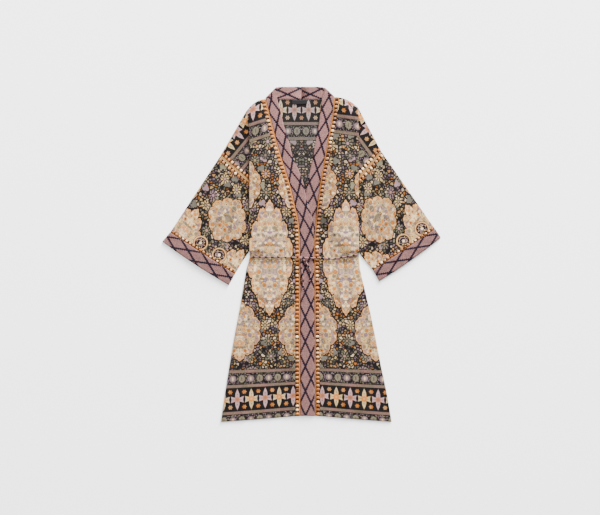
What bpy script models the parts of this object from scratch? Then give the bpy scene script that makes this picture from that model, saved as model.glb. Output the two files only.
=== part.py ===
"""Kimono coat laid flat, front side up: +X to the picture's right, +Y towards the neck, +Z up.

Sizes are in millimetres until a mesh is made, and the mesh is in metres. "right" and "left" are
the wearer's sides, so the right side lies at -X. The coat is closed right over left. Its sleeves
are swung down, so each front is tucked: it folds under at a vertical edge, returns towards the
middle, folds again and runs out to the dropped shoulder and its armhole seam.

Layers from the floor up: back, sleeve underside, sleeve top and dropped shoulder, the tuck's
return, and the body of the front. Each cloth wall is a middle surface thickened by Solidify.
"""

import math
from collections import namedtuple

import bmesh
import bpy
import numpy as np

MM = 0.001

# Driving sizes
CLOTH = 1.0
BAND_CLOTH = 1.6
SEAM_GAP = 0.4
HEM_Y = -502.5
TOP_Y = 502.5
NECKLINE_Y = 464.0
TIE_DIAMETER = 4.0

# Heights of the middle surfaces above the floor
BACK_Z = CLOTH / 2
LAYER_STEP = 1.5
RETURN_STEP = 2.8
BODY_STEP = 4.0
UNDER_SLEEVE_Z = BACK_Z + LAYER_STEP
LOW_Z = UNDER_SLEEVE_Z + LAYER_STEP
RETURN_Z = LOW_Z + RETURN_STEP
BODY_Z = RETURN_Z + BODY_STEP
BASE_Z = 2.4
SLEEVE_GAP_Z = 1.9
SLEEVE_LOFT = 1.8
CUFF_GAP_Z = 2.2
CUFF_END_BOW = 3.5
NECK_BAND_Z = BAND_CLOTH / 2

# Label and tie
LABEL_X = (-30.0, 16.0)
LABEL_TOP_Y = 462.5
LABEL_DEPTH = 12.5
LABEL_CLOTH = 0.8
LABEL_GAP = 0.3
TIE_CLEARANCE = 0.4
TIE_STEP = 9.0
KNOT_AT = (1.5, -11.0)
KNOT_SIZE = (15.0, 12.0, 8.0)

# Where the tuck starts and ends, and how its layers spread out where it stops
TUCK_LOW_FLAT = -8.0
TUCK_LOW_FULL = 10.0
TUCK_TOP_RAMP = 24.0
TUCK_MOUTH = 8.0
FLAT_SPREAD = 34.0
COVER_START = 60.0
COVER_FULL = 14.0
SHOULDER_POWER = 2.2
HEM_POWER = 1.15
SHOULDER_REACH = 150.0
HEM_REACH = 260.0
HIDE_SPREAD = 24.0
HIDE_FADE = 0.12
BAND_EASE = 45.0
DEEPEST_FOLD = -0.4
BACK_HEM_INSET = 3.0
FIRST_SIDE_Y = HEM_Y + 20.0
LAST_SIDE_Y = 20.0

# The half bands meet at the middle of the back neck
NECK_END_RIGHT_X = -SEAM_GAP / 2
NECK_END_LEFT_X = SEAM_GAP / 2

Edge = namedtuple("Edge", "y x")
Band = namedtuple("Band", "y seam_x free_x z")
Turn = namedtuple("Turn", "seam_x seam_y free_x free_y")
Fold = namedtuple("Fold", "x0 y0 x1 y1 width height")
Place = namedtuple("Place", "x y lift")
Side = namedtuple(
    "Side",
    "sign neck shoulder armhole underarm cuff_seam_top cuff_seam_low cuff_top cuff_low under_bow hem_rise"
    " edge band turn",
)

# Soft troughs and ridges of the top layers: two ends, half width and height
SOFT_FOLDS = [
    Fold(x0=-148, y0=-30, x1=-156, y1=-130, width=9, height=2.9),
    Fold(x0=-128, y0=-22, x1=-138, y1=-150, width=10, height=-0.5),
    Fold(x0=-96, y0=-26, x1=-112, y1=-330, width=15, height=2.1),
    Fold(x0=-52, y0=-26, x1=-56, y1=-210, width=13, height=1.8),
    Fold(x0=-70, y0=10, x1=-66, y1=120, width=13, height=1.6),
    Fold(x0=90, y0=-24, x1=88, y1=-120, width=8, height=-0.4),
    Fold(x0=117, y0=-24, x1=120, y1=-190, width=9, height=2.7),
    Fold(x0=148, y0=-26, x1=170, y1=-280, width=13, height=2.1),
    Fold(x0=74, y0=-30, x1=84, y1=-360, width=13, height=1.8),
    Fold(x0=92, y0=250, x1=84, y1=110, width=9, height=2.2),
    Fold(x0=-190, y0=196, x1=-206, y1=20, width=12, height=2.6),
    Fold(x0=-270, y0=232, x1=-300, y1=60, width=17, height=2.1),
    Fold(x0=-236, y0=150, x1=-262, y1=0, width=13, height=1.6),
    Fold(x0=253, y0=284, x1=282, y1=170, width=10, height=2.7),
    Fold(x0=200, y0=190, x1=222, y1=30, width=13, height=2.1),
    Fold(x0=262, y0=196, x1=326, y1=70, width=15, height=1.8),
]

# The tie from each side seam to the knot, and its two free tails
TIE_RIGHT = [
    Place(x=-153.5, y=-6, lift=0.0),
    Place(x=-144, y=-8, lift=0.0),
    Place(x=-110, y=-9, lift=0.1),
    Place(x=-60, y=-9, lift=0.1),
    Place(x=-24, y=-9.5, lift=0.2),
    Place(x=-8, y=-10, lift=1.0),
]
TIE_LEFT = [
    Place(x=166, y=-1, lift=0.0),
    Place(x=153, y=-4, lift=0.0),
    Place(x=120, y=-9.5, lift=0.1),
    Place(x=91, y=-14, lift=0.1),
    Place(x=54, y=-10, lift=0.2),
    Place(x=34, y=-11.5, lift=0.4),
    Place(x=11, y=-11.5, lift=1.0),
]
TAIL_RIGHT = [
    Place(x=0, y=-19, lift=0.6),
    Place(x=-1.5, y=-34, lift=0.0),
    Place(x=2.5, y=-60, lift=0.0),
    Place(x=5.5, y=-84, lift=0.0),
    Place(x=3.0, y=-106, lift=0.0),
]
TAIL_LEFT = [
    Place(x=7, y=-18.5, lift=0.8),
    Place(x=17, y=-29, lift=0.0),
    Place(x=25, y=-45, lift=0.0),
    Place(x=27.5, y=-66, lift=0.0),
    Place(x=24, y=-82, lift=0.0),
]

RIGHT = Side(
    sign=-1,
    neck=(-107.0, 464.5),
    shoulder=(-166.0, 428.0),
    armhole=(-243.0, 294.8),
    underarm=(-65.5, 136.3),
    cuff_seam_top=(-393.6, 65.3),
    cuff_seam_low=(-201.0, -59.3),
    cuff_top=(-417.0, 37.5),
    cuff_low=(-219.0, -92.3),
    under_bow=4.0,
    hem_rise=18.5,
    edge=[
        Edge(y=428, x=-166.0),
        Edge(y=376, x=-157.5),
        Edge(y=330, x=-156.6),
        Edge(y=8, x=-156.0),
        Edge(y=-6, x=-155.5),
        Edge(y=-20, x=-158.0),
        Edge(y=-38, x=-163.0),
        Edge(y=-101, x=-174.5),
        Edge(y=-164, x=-185.0),
        Edge(y=-236, x=-199.0),
        Edge(y=-326, x=-214.5),
        Edge(y=-416, x=-229.0),
        Edge(y=HEM_Y, x=-241.5),
    ],
    band=[
        Band(y=HEM_Y, seam_x=-4.0, free_x=39.5, z=4.2),
        Band(y=-200, seam_x=-4.8, free_x=38.5, z=4.2),
        Band(y=20, seam_x=-5.0, free_x=37.5, z=4.2),
        Band(y=70, seam_x=-6.5, free_x=36.5, z=4.2),
        Band(y=107, seam_x=-11.0, free_x=33.0, z=4.2),
        Band(y=142, seam_x=-19.5, free_x=22.0, z=4.2),
        Band(y=177, seam_x=-27.5, free_x=13.0, z=4.2),
        Band(y=215, seam_x=-36.9, free_x=5.5, z=3.8),
        Band(y=248, seam_x=-47.0, free_x=-6.5, z=3.2),
        Band(y=286, seam_x=-59.5, free_x=-24.0, z=2.8),
        Band(y=347, seam_x=-77.5, free_x=-40.5, z=2.8),
        Band(y=381, seam_x=-86.4, free_x=-51.5, z=2.9),
        Band(y=416, seam_x=-95.4, free_x=-60.0, z=3.2),
        Band(y=464.5, seam_x=-107.0, free_x=-72.6, z=3.4),
    ],
    turn=[
        Turn(seam_x=-107.5, seam_y=466.0, free_x=-77.0, free_y=489.0),
        Turn(seam_x=-108.0, seam_y=468.0, free_x=-75.0, free_y=501.3),
        Turn(seam_x=-91.0, seam_y=464.7, free_x=-68.0, free_y=501.9),
        Turn(seam_x=-66.0, seam_y=464.4, free_x=-54.0, free_y=502.3),
        Turn(seam_x=-34.0, seam_y=464.4, free_x=-30.0, free_y=TOP_Y),
        Turn(seam_x=NECK_END_RIGHT_X, seam_y=464.4, free_x=NECK_END_RIGHT_X, free_y=TOP_Y),
    ],
)

LEFT = Side(
    sign=1,
    neck=(98.0, 471.0),
    shoulder=(169.0, 440.0),
    armhole=(239.4, 307.4),
    underarm=(83.7, 127.4),
    cuff_seam_top=(400.5, 74.9),
    cuff_seam_low=(215.1, -48.2),
    cuff_top=(417.0, 50.0),
    cuff_low=(233.4, -80.3),
    under_bow=-3.0,
    hem_rise=18.5,
    edge=[
        Edge(y=440, x=169.0),
        Edge(y=400, x=170.5),
        Edge(y=340, x=171.0),
        Edge(y=12, x=171.5),
        Edge(y=-16, x=172.5),
        Edge(y=-56, x=178.0),
        Edge(y=-101, x=188.5),
        Edge(y=-164, x=203.5),
        Edge(y=-227, x=217.0),
        Edge(y=-326, x=236.5),
        Edge(y=-416, x=255.5),
        Edge(y=HEM_Y, x=270.0),
    ],
    band=[
        Band(y=HEM_Y, seam_x=41.5, free_x=-2.5, z=2.2),
        Band(y=-200, seam_x=39.5, free_x=-3.0, z=2.2),
        Band(y=16, seam_x=38.3, free_x=-3.0, z=2.2),
        Band(y=48, seam_x=38.5, free_x=-2.5, z=2.2),
        Band(y=74, seam_x=40.5, free_x=-1.0, z=2.2),
        Band(y=108, seam_x=44.1, free_x=2.5, z=2.2),
        Band(y=143, seam_x=47.7, free_x=6.5, z=2.2),
        Band(y=177, seam_x=52.5, free_x=12.0, z=2.2),
        Band(y=212, seam_x=56.3, free_x=17.0, z=2.2),
        Band(y=246, seam_x=61.8, free_x=24.5, z=2.3),
        Band(y=288, seam_x=69.3, free_x=34.0, z=2.5),
        Band(y=347, seam_x=80.2, free_x=43.5, z=2.7),
        Band(y=378, seam_x=85.5, free_x=50.0, z=2.9),
        Band(y=416, seam_x=92.5, free_x=55.0, z=3.2),
        Band(y=471, seam_x=98.0, free_x=62.0, z=3.4),
    ],
    turn=[
        Turn(seam_x=98.3, seam_y=471.4, free_x=68.0, free_y=489.0),
        Turn(seam_x=98.5, seam_y=472.0, free_x=69.5, free_y=499.5),
        Turn(seam_x=84.0, seam_y=467.5, free_x=63.0, free_y=501.4),
        Turn(seam_x=62.0, seam_y=464.6, free_x=51.0, free_y=502.3),
        Turn(seam_x=32.0, seam_y=464.4, free_x=28.0, free_y=TOP_Y),
        Turn(seam_x=NECK_END_LEFT_X, seam_y=464.4, free_x=NECK_END_LEFT_X, free_y=TOP_Y),
    ],
)


def smooth01(t):
    """0 below 0, 1 above 1, and a smooth step between."""
    t = np.clip(t, 0.0, 1.0)
    return t * t * (3 - 2 * t)


def mix(a, b, t):
    return a + (b - a) * t


def column(table, name):
    return np.array([getattr(row, name) for row in table], float)


def through(table, name, y):
    """The named column at height y: a cubic through the table's rows, whose slope at each row is the mean
    of the slopes on its two sides."""
    ys, vs = column(table, "y"), column(table, name)
    order = np.argsort(ys)
    ys, vs = ys[order], vs[order]
    slope = np.diff(vs) / np.diff(ys)
    tangent = np.concatenate([slope[:1], (slope[:-1] + slope[1:]) / 2, slope[-1:]])
    y = np.clip(y, ys[0], ys[-1])
    i = np.clip(np.searchsorted(ys, y) - 1, 0, len(ys) - 2)
    h = ys[i + 1] - ys[i]
    t = (y - ys[i]) / h
    rise = vs[i] * (1 + 2 * t) * (1 - t) ** 2 + vs[i + 1] * t * t * (3 - 2 * t)
    return rise + h * (tangent[i] * t * (1 - t) ** 2 - tangent[i + 1] * t * t * (1 - t))


def soft_folds(x, y):
    """Sum of the soft folds: each is a bell across its own line, faded towards both ends."""
    total = np.zeros(np.broadcast(x, y).shape)
    for f in SOFT_FOLDS:
        dx, dy = f.x1 - f.x0, f.y1 - f.y0
        length = math.hypot(dx, dy)
        along = ((x - f.x0) * dx + (y - f.y0) * dy) / length**2
        across = ((x - f.x0) * dy - (y - f.y0) * dx) / length
        fade = smooth01((along + 0.15) / 0.4) * (1 - smooth01((along - 0.6) / 0.5))
        total = total + f.height * np.exp(-((across / f.width) ** 2)) * fade
    return total


# The stacked layers

def edge_out(side, y):
    """Distance outwards from X = 0 of the front's outer fold, and of its side seam below the waist."""
    return side.sign * through(side.edge, "x", y)


def tuck_weight(side, y):
    """1 where the tuck is full, 0 at the shoulder and below the waist."""
    low = np.clip((y - TUCK_LOW_FLAT) / (TUCK_LOW_FULL - TUCK_LOW_FLAT), 0, 1)
    top = np.clip((side.shoulder[1] - y) / TUCK_TOP_RAMP, 0, 1)
    return low * top


def tuck_inner(side, y):
    """Outward distance of the tuck's inner fold above the underarm, and of the side seam below it."""
    deep = edge_out(side, side.underarm[1]) - side.sign * side.underarm[0]
    depth = np.interp(
        y,
        [TUCK_LOW_FULL, side.underarm[1], side.shoulder[1] - TUCK_TOP_RAMP],
        [TUCK_MOUTH, deep, TUCK_MOUTH],
    )
    return edge_out(side, y) - depth


def hidden(side, out, across):
    """1 under the front's fold and 0 beyond it, also faded towards the sleeve's top fold."""
    return (1 - smooth01((out - edge_out(side, 100.0) - 2) / HIDE_SPREAD)) * smooth01(across / HIDE_FADE)


def sleeve_under_z(side, out, across):
    return BACK_Z + (UNDER_SLEEVE_Z - BACK_Z) * hidden(side, out, across)


def sleeve_top_z(side, out, y, across):
    """The sleeve's upper wall and the dropped shoulder: above the lower wall, lofted where it shows."""
    deep = hidden(side, out, across)
    gap = SLEEVE_GAP_Z - (SLEEVE_GAP_Z - LAYER_STEP) * deep
    loft = SLEEVE_LOFT * np.sin(math.pi * np.clip(across, 0, 1)) + soft_folds(side.sign * out, y)
    return sleeve_under_z(side, out, across) + gap + np.maximum(loft, 0) * (1 - deep)


def body_z(side, out, y, seam_out):
    """The front's body: level with the band at its seam, low in the middle, and up over the tuck."""
    seam_z = through(side.band, "z", y)
    base = mix(seam_z, BASE_Z, smooth01((out - seam_out) / BAND_EASE))
    start = tuck_inner(side, y) - COVER_START
    cover = tuck_weight(side, y) * smooth01((out - start) / (COVER_START - COVER_FULL))
    return mix(base, BODY_Z, cover) + np.maximum(soft_folds(side.sign * out, y), DEEPEST_FOLD)


# Middle surfaces as grids of points

def row_lift(side, y, across):
    """How far a row bends up towards the neck at the shoulder, and up towards the middle at the hem."""
    neck_rise = side.neck[1] - side.shoulder[1]
    near_shoulder = smooth01((y - side.shoulder[1] + SHOULDER_REACH) / SHOULDER_REACH)
    near_hem = 1 - smooth01((y - HEM_Y) / HEM_REACH)
    across = np.clip(across, 0, 1)
    at_shoulder = neck_rise * near_shoulder * (1 - across**SHOULDER_POWER)
    return at_shoulder + side.hem_rise * near_hem * (1 - across) ** HEM_POWER


def front_rows(side, skirt, lap, chest):
    """Heights of the rows: skirt rows below the waist, lap rows up to the underarm, chest rows up to the
    shoulder."""
    low, under, top = TUCK_LOW_FULL, side.underarm[1], side.shoulder[1]
    return np.concatenate([
        np.linspace(HEM_Y, TUCK_LOW_FLAT, skirt + 1),
        [mix(TUCK_LOW_FLAT, low, 0.5)],
        np.linspace(low, under, lap + 1),
        np.linspace(under, top - TUCK_TOP_RAMP, chest + 1)[1:],
        [top - TUCK_TOP_RAMP / 2, top],
    ])


def front_surface(side, rows, n_body, n_arc, n_return, n_shoulder):
    """The front as one cloth: rows from hem to shoulder, columns from the band seam to the outer fold,
    round it, back along the return, round the inner fold and out to the armhole seam. Where the tuck stops,
    the folded row is mixed with a flat one in which the same columns lie side by side."""
    y = rows[:, None]
    seam_y = y + row_lift(side, y, 0.0)
    seam = side.sign * through(side.band, "seam_x", seam_y)
    edge, inner, weight = edge_out(side, y), tuck_inner(side, y), tuck_weight(side, y)
    outer_r, inner_r = BODY_STEP / 2, RETURN_STEP / 2
    turn = np.linspace(0, math.pi, n_arc + 1)[None, 1:]
    above = rows >= side.underarm[1] - 1e-6

    # Folded rows
    t = np.linspace(0, 1, n_body + 1)[None, :]
    body = mix(seam, edge - outer_r, t)
    outs = [body, edge - outer_r + outer_r * np.sin(turn)]
    zs = [body_z(side, body, y, seam), (BODY_Z + RETURN_Z) / 2 + outer_r * np.cos(turn)]
    t_return = np.linspace(0, 1, n_return + 1)[None, 1:]
    outs += [mix(edge - outer_r, inner + inner_r, t_return), inner + inner_r - inner_r * np.sin(turn)]
    zs += [np.full((1, n_return), RETURN_Z), (RETURN_Z + LOW_Z) / 2 + inner_r * np.cos(turn)]
    ones = np.ones_like(y)
    folded_out = np.concatenate([part * ones for part in outs], axis=1)
    folded_z = np.concatenate([part * ones for part in zs], axis=1)
    folded_across = np.concatenate([t * ones, np.ones((len(rows), 2 * n_arc + n_return))], axis=1)

    # Flat rows
    zone = np.where(above[:, None], 2 * n_arc + n_return, n_arc + n_return)
    k = np.arange(1, 2 * n_arc + n_return + 1)[None, :]
    start = edge - FLAT_SPREAD
    flat_out = np.concatenate([mix(seam, start, t), mix(start, edge, np.minimum(k / zone, 1))], axis=1)
    flat_across = (flat_out - seam) / (edge - seam)
    flat_z = body_z(side, flat_out, y, seam)

    out = mix(flat_out, folded_out, weight)
    z = mix(flat_z, folded_z, weight)
    across = mix(flat_across, folded_across, weight)
    points_y = y + row_lift(side, y, across)

    # The dropped shoulder is ruled from the inner fold to the armhole seam
    share = np.clip((side.shoulder[1] - y) / (side.shoulder[1] - side.underarm[1]), 0, 1)
    seam_x = side.sign * mix(side.armhole[0], side.underarm[0], share)
    seam_y = mix(side.armhole[1], side.underarm[1], share)
    t_out = np.linspace(0, 1, n_shoulder + 1)[None, 1:]
    drop_out = mix(out[:, -1:], seam_x, t_out)
    drop_y = mix(points_y[:, -1:], seam_y, t_out)
    low = sleeve_top_z(side, drop_out, drop_y, share)
    drop_z = mix(z[:, -1:], low, smooth01(t_out * 3))
    sheets = (side.sign * out, points_y, z), (side.sign * drop_out, drop_y, drop_z)
    points = np.concatenate([np.stack(np.broadcast_arrays(*sheet), axis=-1) for sheet in sheets], axis=1)
    cut = n_body + n_arc + n_return
    keep = np.ones((len(rows) - 1, points.shape[1] - 1), bool)
    keep[~above[:-1], cut:] = False
    return points, keep


def tube_surface(side, ends, n_along, n_across, n_arc, cloth, heights, low_bow=0.0, end_bow=0.0):
    """A flattened tube: each ring runs out along the lower wall, round the low edge, back along the upper
    wall and round the top fold. ends are its four corners, top and low at each end. low_bow curves the low
    edge inwards between its ends, and end_bow curves the far opening outwards."""
    top_a, low_a, top_b, low_b = (np.array(p, float) for p in ends)
    s = np.linspace(0, 1, n_along + 1)[:, None]
    flat = np.linspace(0, 1, n_across + 1)[None, :]
    turn = np.linspace(0, math.pi, n_arc + 1)[None, 1:-1]
    width = np.hypot(*(low_a - top_a))
    inwards = (top_a - low_a) / width
    onwards = (top_b - top_a) / np.hypot(*(top_b - top_a))

    def place(across):
        across = np.broadcast_to(across, (len(s), across.shape[1]))[..., None]
        along = s[..., None]
        top = top_a + (top_b - top_a) * along
        low = low_a + (low_b - low_a) * along + inwards * low_bow * 4 * along * (1 - along)
        return top + (low - top) * across + onwards * end_bow * along * 4 * across * (1 - across)

    def wall(across, upper):
        xy = place(across)
        under, over = heights(side, side.sign * xy[..., 0], xy[..., 1], across)
        return np.concatenate([xy, (over if upper else under)[..., None]], axis=-1)

    inset = cloth / width
    folds = np.array([[inset, 1 - inset]])
    under, over = wall(folds, False)[..., 2], wall(folds, True)[..., 2]
    half, middle = (over - under) / 2, (over + under) / 2
    span = inset + (1 - 2 * inset) * flat
    rings = [wall(span, False)]
    low_arc = 1 - inset + np.sin(turn) * inset
    xy = place(low_arc)
    rings.append(np.concatenate([xy, (middle[:, 1:] - half[:, 1:] * np.cos(turn))[..., None]], axis=-1))
    rings.append(wall(span[:, ::-1], True))
    top_arc = inset - np.sin(turn) * inset
    xy = place(top_arc)
    rings.append(np.concatenate([xy, (middle[:, :1] + half[:, :1] * np.cos(turn))[..., None]], axis=-1))
    return np.concatenate(rings, axis=1)


def shifted(p, q, distance):
    """Point p moved towards q by a distance."""
    p, q = np.array(p, float), np.array(q, float)
    return p + (q - p) * distance / np.hypot(*(q - p))


def sleeve_surface(side, n_along, n_across, n_arc):
    """The sleeve, from the armhole seam to the cuff seam, short of both by half a seam gap."""
    ends = (
        shifted(side.armhole, side.cuff_seam_top, SEAM_GAP),
        shifted(side.underarm, side.cuff_seam_low, SEAM_GAP),
        shifted(side.cuff_seam_top, side.armhole, SEAM_GAP / 2),
        shifted(side.cuff_seam_low, side.underarm, SEAM_GAP / 2),
    )

    def heights(side, out, y, across):
        return sleeve_under_z(side, out, across), sleeve_top_z(side, out, y, across)

    return tube_surface(side, ends, n_along, n_across, n_arc, CLOTH, heights, low_bow=side.under_bow)


def cuff_surface(side, n_along, n_across, n_arc):
    """The cuff band, a short double-cloth tube sewn to the sleeve's end."""
    ends = (
        shifted(side.cuff_seam_top, side.cuff_top, SEAM_GAP / 2),
        shifted(side.cuff_seam_low, side.cuff_low, SEAM_GAP / 2),
        side.cuff_top,
        side.cuff_low,
    )

    def heights(side, out, y, across):
        low = np.full(np.shape(out), BAND_CLOTH / 2)
        return low, low + CUFF_GAP_Z + SLEEVE_LOFT * np.sin(math.pi * np.clip(across, 0, 1))

    return tube_surface(side, ends, n_along, n_across, n_arc, BAND_CLOTH, heights, end_bow=CUFF_END_BOW)


def band_surface(side, rows, n_across, n_arc):
    """Half of the long band: up the front edge row by row, folded over at the neck along a slanting line,
    then along the back neck to the middle. Column 0 is the sewn edge and the last one is the free edge."""
    y = rows + row_lift(side, rows, 0.0)
    seam = np.stack([through(side.band, "seam_x", y) - side.sign * SEAM_GAP, y], axis=-1)
    free = np.stack([through(side.band, "free_x", y), y], axis=-1)
    z = through(side.band, "z", y)
    fold_z, radius = (z[-1] + NECK_BAND_Z) / 2, (z[-1] - NECK_BAND_Z) / 2
    lead, line = side.turn[0], side.turn[1]
    seam_rows, free_rows, zs = [seam], [free], [z]
    seam_rows.append([[lead.seam_x, lead.seam_y]])
    free_rows.append([[lead.free_x, lead.free_y]])
    zs.append(z[-1:])
    turn = np.linspace(0, math.pi, n_arc + 1)
    ends = np.array([[line.seam_x, line.seam_y], [line.free_x, line.free_y]])
    along = (ends[1] - ends[0]) / np.hypot(*(ends[1] - ends[0]))
    outwards = np.array([-along[1], along[0]]) * -side.sign
    for angle in turn:
        push = outwards * (math.sin(angle) - 1) * radius
        seam_rows.append([ends[0] + push])
        free_rows.append([ends[1] + push])
        zs.append([fold_z + radius * math.cos(angle)])
    back = side.turn[2:]
    seam_rows.append([[row.seam_x, row.seam_y] for row in back])
    free_rows.append([[row.free_x, row.free_y] for row in back])
    zs.append(np.full(len(back), NECK_BAND_Z))
    seam, free, z = np.concatenate(seam_rows), np.concatenate(free_rows), np.concatenate(zs)
    t = np.linspace(0, 1, n_across + 1)[None, :, None]
    xy = seam[:, None] + (free - seam)[:, None] * t
    return np.concatenate([xy, np.repeat(z[:, None, None], n_across + 1, axis=1)], axis=-1)


# Blender objects

def material(name, colour, roughness):
    mat = bpy.data.materials.new(name)
    mat.use_nodes = True
    shader = mat.node_tree.nodes["Principled BSDF"]
    shader.inputs["Base Color"].default_value = (*colour, 1.0)
    shader.inputs["Roughness"].default_value = roughness
    shader.inputs["Metallic"].default_value = 0.0
    return mat


def cloth_object(name, points, keep, closed, thickness, mat):
    """A grid of points in millimetres as a mesh, thickened evenly to both sides."""
    n_rows, n_cols = points.shape[:2]
    bm = bmesh.new()
    verts = [bm.verts.new(p) for p in (points.reshape(-1, 3) * MM).tolist()]
    for j in range(n_rows - 1):
        for i in range(n_cols if closed else n_cols - 1):
            if keep is not None and not keep[j, i]:
                continue
            k = (i + 1) % n_cols
            corners = [j * n_cols + i, j * n_cols + k, (j + 1) * n_cols + k, (j + 1) * n_cols + i]
            bm.faces.new([verts[c] for c in corners])
    loose = [v for v in bm.verts if not v.link_faces]
    bmesh.ops.delete(bm, geom=loose, context="VERTS")
    bmesh.ops.remove_doubles(bm, verts=bm.verts, dist=0.01 * MM)
    mesh = bpy.data.meshes.new(name)
    bm.to_mesh(mesh)
    bm.free()
    mesh.shade_smooth()
    obj = bpy.data.objects.new(name, mesh)
    obj.data.materials.append(mat)
    bpy.context.scene.collection.objects.link(obj)
    wall = obj.modifiers.new("wall", "SOLIDIFY")
    wall.thickness = thickness * MM
    wall.offset = 0.0
    return obj


def back_outline():
    """The back's flat outline: hem, side, armhole, shoulder and neckline, then down the other side."""
    def half(side):
        neck_y = min(NECKLINE_Y, side.neck[1])
        hem = [
            (mix(side.edge[-1].x, 0.0, t), HEM_Y + BACK_HEM_INSET + side.hem_rise * t**HEM_POWER)
            for t in (0.0, 0.25, 0.5, 0.75, 1.0)
        ]
        fold_x = side.sign * edge_out(side, 100.0)
        share = (side.armhole[0] - fold_x) / (side.armhole[0] - side.underarm[0])
        notch_y = mix(side.armhole[1], side.underarm[1], share)
        sides = [(row.x, row.y) for row in side.edge[::-1] if FIRST_SIDE_Y < row.y < LAST_SIDE_Y]
        shoulder = [
            (mix(side.neck[0], side.shoulder[0], t), mix(neck_y, side.shoulder[1], t**SHOULDER_POWER))
            for t in (1.0, 0.75, 0.5, 0.25, 0.0)
        ]
        return hem[::-1] + sides + [(fold_x, notch_y), side.armhole] + shoulder

    right, left = half(RIGHT), half(LEFT)
    return right[1:] + left[::-1]


def back_object(mat):
    bm = bmesh.new()
    verts = [bm.verts.new((x * MM, y * MM, 0.0)) for x, y in back_outline()]
    face = bm.faces.new(verts)
    grown = bmesh.ops.extrude_face_region(bm, geom=[face])
    lifted = [g for g in grown["geom"] if isinstance(g, bmesh.types.BMVert)]
    bmesh.ops.translate(bm, verts=lifted, vec=(0, 0, CLOTH * MM))
    bmesh.ops.recalc_face_normals(bm, faces=bm.faces)
    mesh = bpy.data.meshes.new("back")
    bm.to_mesh(mesh)
    bm.free()
    obj = bpy.data.objects.new("back", mesh)
    obj.data.materials.append(mat)
    bpy.context.scene.collection.objects.link(obj)
    return obj


def front_top_z(x, y):
    """Height of the uppermost cloth face at a place on the front."""
    side = RIGHT if x < through(RIGHT.band, "seam_x", y) else LEFT
    on_right_band = through(RIGHT.band, "seam_x", y) <= x <= through(RIGHT.band, "free_x", y)
    if on_right_band:
        return float(through(RIGHT.band, "z", y)) + BAND_CLOTH / 2
    seam = side.sign * through(side.band, "seam_x", y)
    return float(body_z(side, side.sign * x, np.float64(y), seam)) + CLOTH / 2


def label_object(mat):
    """A small woven label on the inside of the back, just under the neckline."""
    x0, x1 = LABEL_X
    bm = bmesh.new()
    bmesh.ops.create_cube(bm, size=1.0)
    for v in bm.verts:
        v.co.x = (x0 + x1) / 2 * MM + v.co.x * (x1 - x0) * MM
        v.co.y = (LABEL_TOP_Y - LABEL_DEPTH / 2) * MM + v.co.y * LABEL_DEPTH * MM
        v.co.z = (CLOTH + LABEL_GAP + LABEL_CLOTH / 2) * MM + v.co.z * LABEL_CLOTH * MM
    mesh = bpy.data.meshes.new("label")
    bm.to_mesh(mesh)
    bm.free()
    obj = bpy.data.objects.new("label", mesh)
    obj.data.materials.append(mat)
    bpy.context.scene.collection.objects.link(obj)


def rounded_route(points, step):
    """A smooth curve through the points, read off at an even step."""
    p = np.array(points, float)
    padded = np.concatenate([[2 * p[0] - p[1]], p, [2 * p[-1] - p[-2]]])
    fine = []
    for a, b, c, d in zip(padded, padded[1:], padded[2:], padded[3:]):
        t = np.linspace(0, 1, 20, endpoint=False)[:, None]
        square, cube = (2 * a - 5 * b + 4 * c - d) * t**2, (3 * b - a - 3 * c + d) * t**3
        fine.append((2 * b + (c - a) * t + square + cube) / 2)
    fine = np.concatenate(fine + [p[-1:]])
    run = np.concatenate([[0], np.cumsum(np.linalg.norm(np.diff(fine, axis=0), axis=1))])
    at = np.linspace(0, run[-1], max(3, round(run[-1] / step) + 1))
    return np.stack([np.interp(at, run, fine[:, k]) for k in range(3)], axis=-1)


def tie_object(name, places, mat):
    """A length of the tie: a tube that clears the cloth below it, higher by each place's own lift."""
    radius = TIE_DIAMETER / 2
    points = []
    for place in places:
        top = max(front_top_z(place.x, place.y + aside) for aside in (-radius, 0, radius))
        points.append((place.x, place.y, top + TIE_CLEARANCE + radius + place.lift))
    curve = bpy.data.curves.new(name, "CURVE")
    curve.dimensions = "3D"
    curve.bevel_depth = radius * MM
    curve.bevel_resolution = 2
    curve.use_fill_caps = True
    route = rounded_route(points, TIE_STEP) * MM
    spline = curve.splines.new("POLY")
    spline.points.add(len(route) - 1)
    for point, co in zip(spline.points, route):
        point.co = (*co, 1.0)
    curve.materials.append(mat)
    obj = bpy.data.objects.new(name, curve)
    bpy.context.scene.collection.objects.link(obj)


def knot_object(mat):
    """The knot's outer shape: a flattened ball on the front band."""
    bm = bmesh.new()
    bmesh.ops.create_uvsphere(bm, u_segments=16, v_segments=8, radius=0.5)
    x, y = KNOT_AT
    bottom = front_top_z(x, y) + TIE_CLEARANCE
    for v in bm.verts:
        v.co.x = (x + v.co.x * KNOT_SIZE[0]) * MM
        v.co.y = (y + v.co.y * KNOT_SIZE[1]) * MM
        v.co.z = (bottom + (v.co.z + 0.5) * KNOT_SIZE[2]) * MM
    mesh = bpy.data.meshes.new("tie_knot")
    bm.to_mesh(mesh)
    bm.free()
    mesh.shade_smooth()
    obj = bpy.data.objects.new("tie_knot", mesh)
    obj.data.materials.append(mat)
    bpy.context.scene.collection.objects.link(obj)


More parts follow.
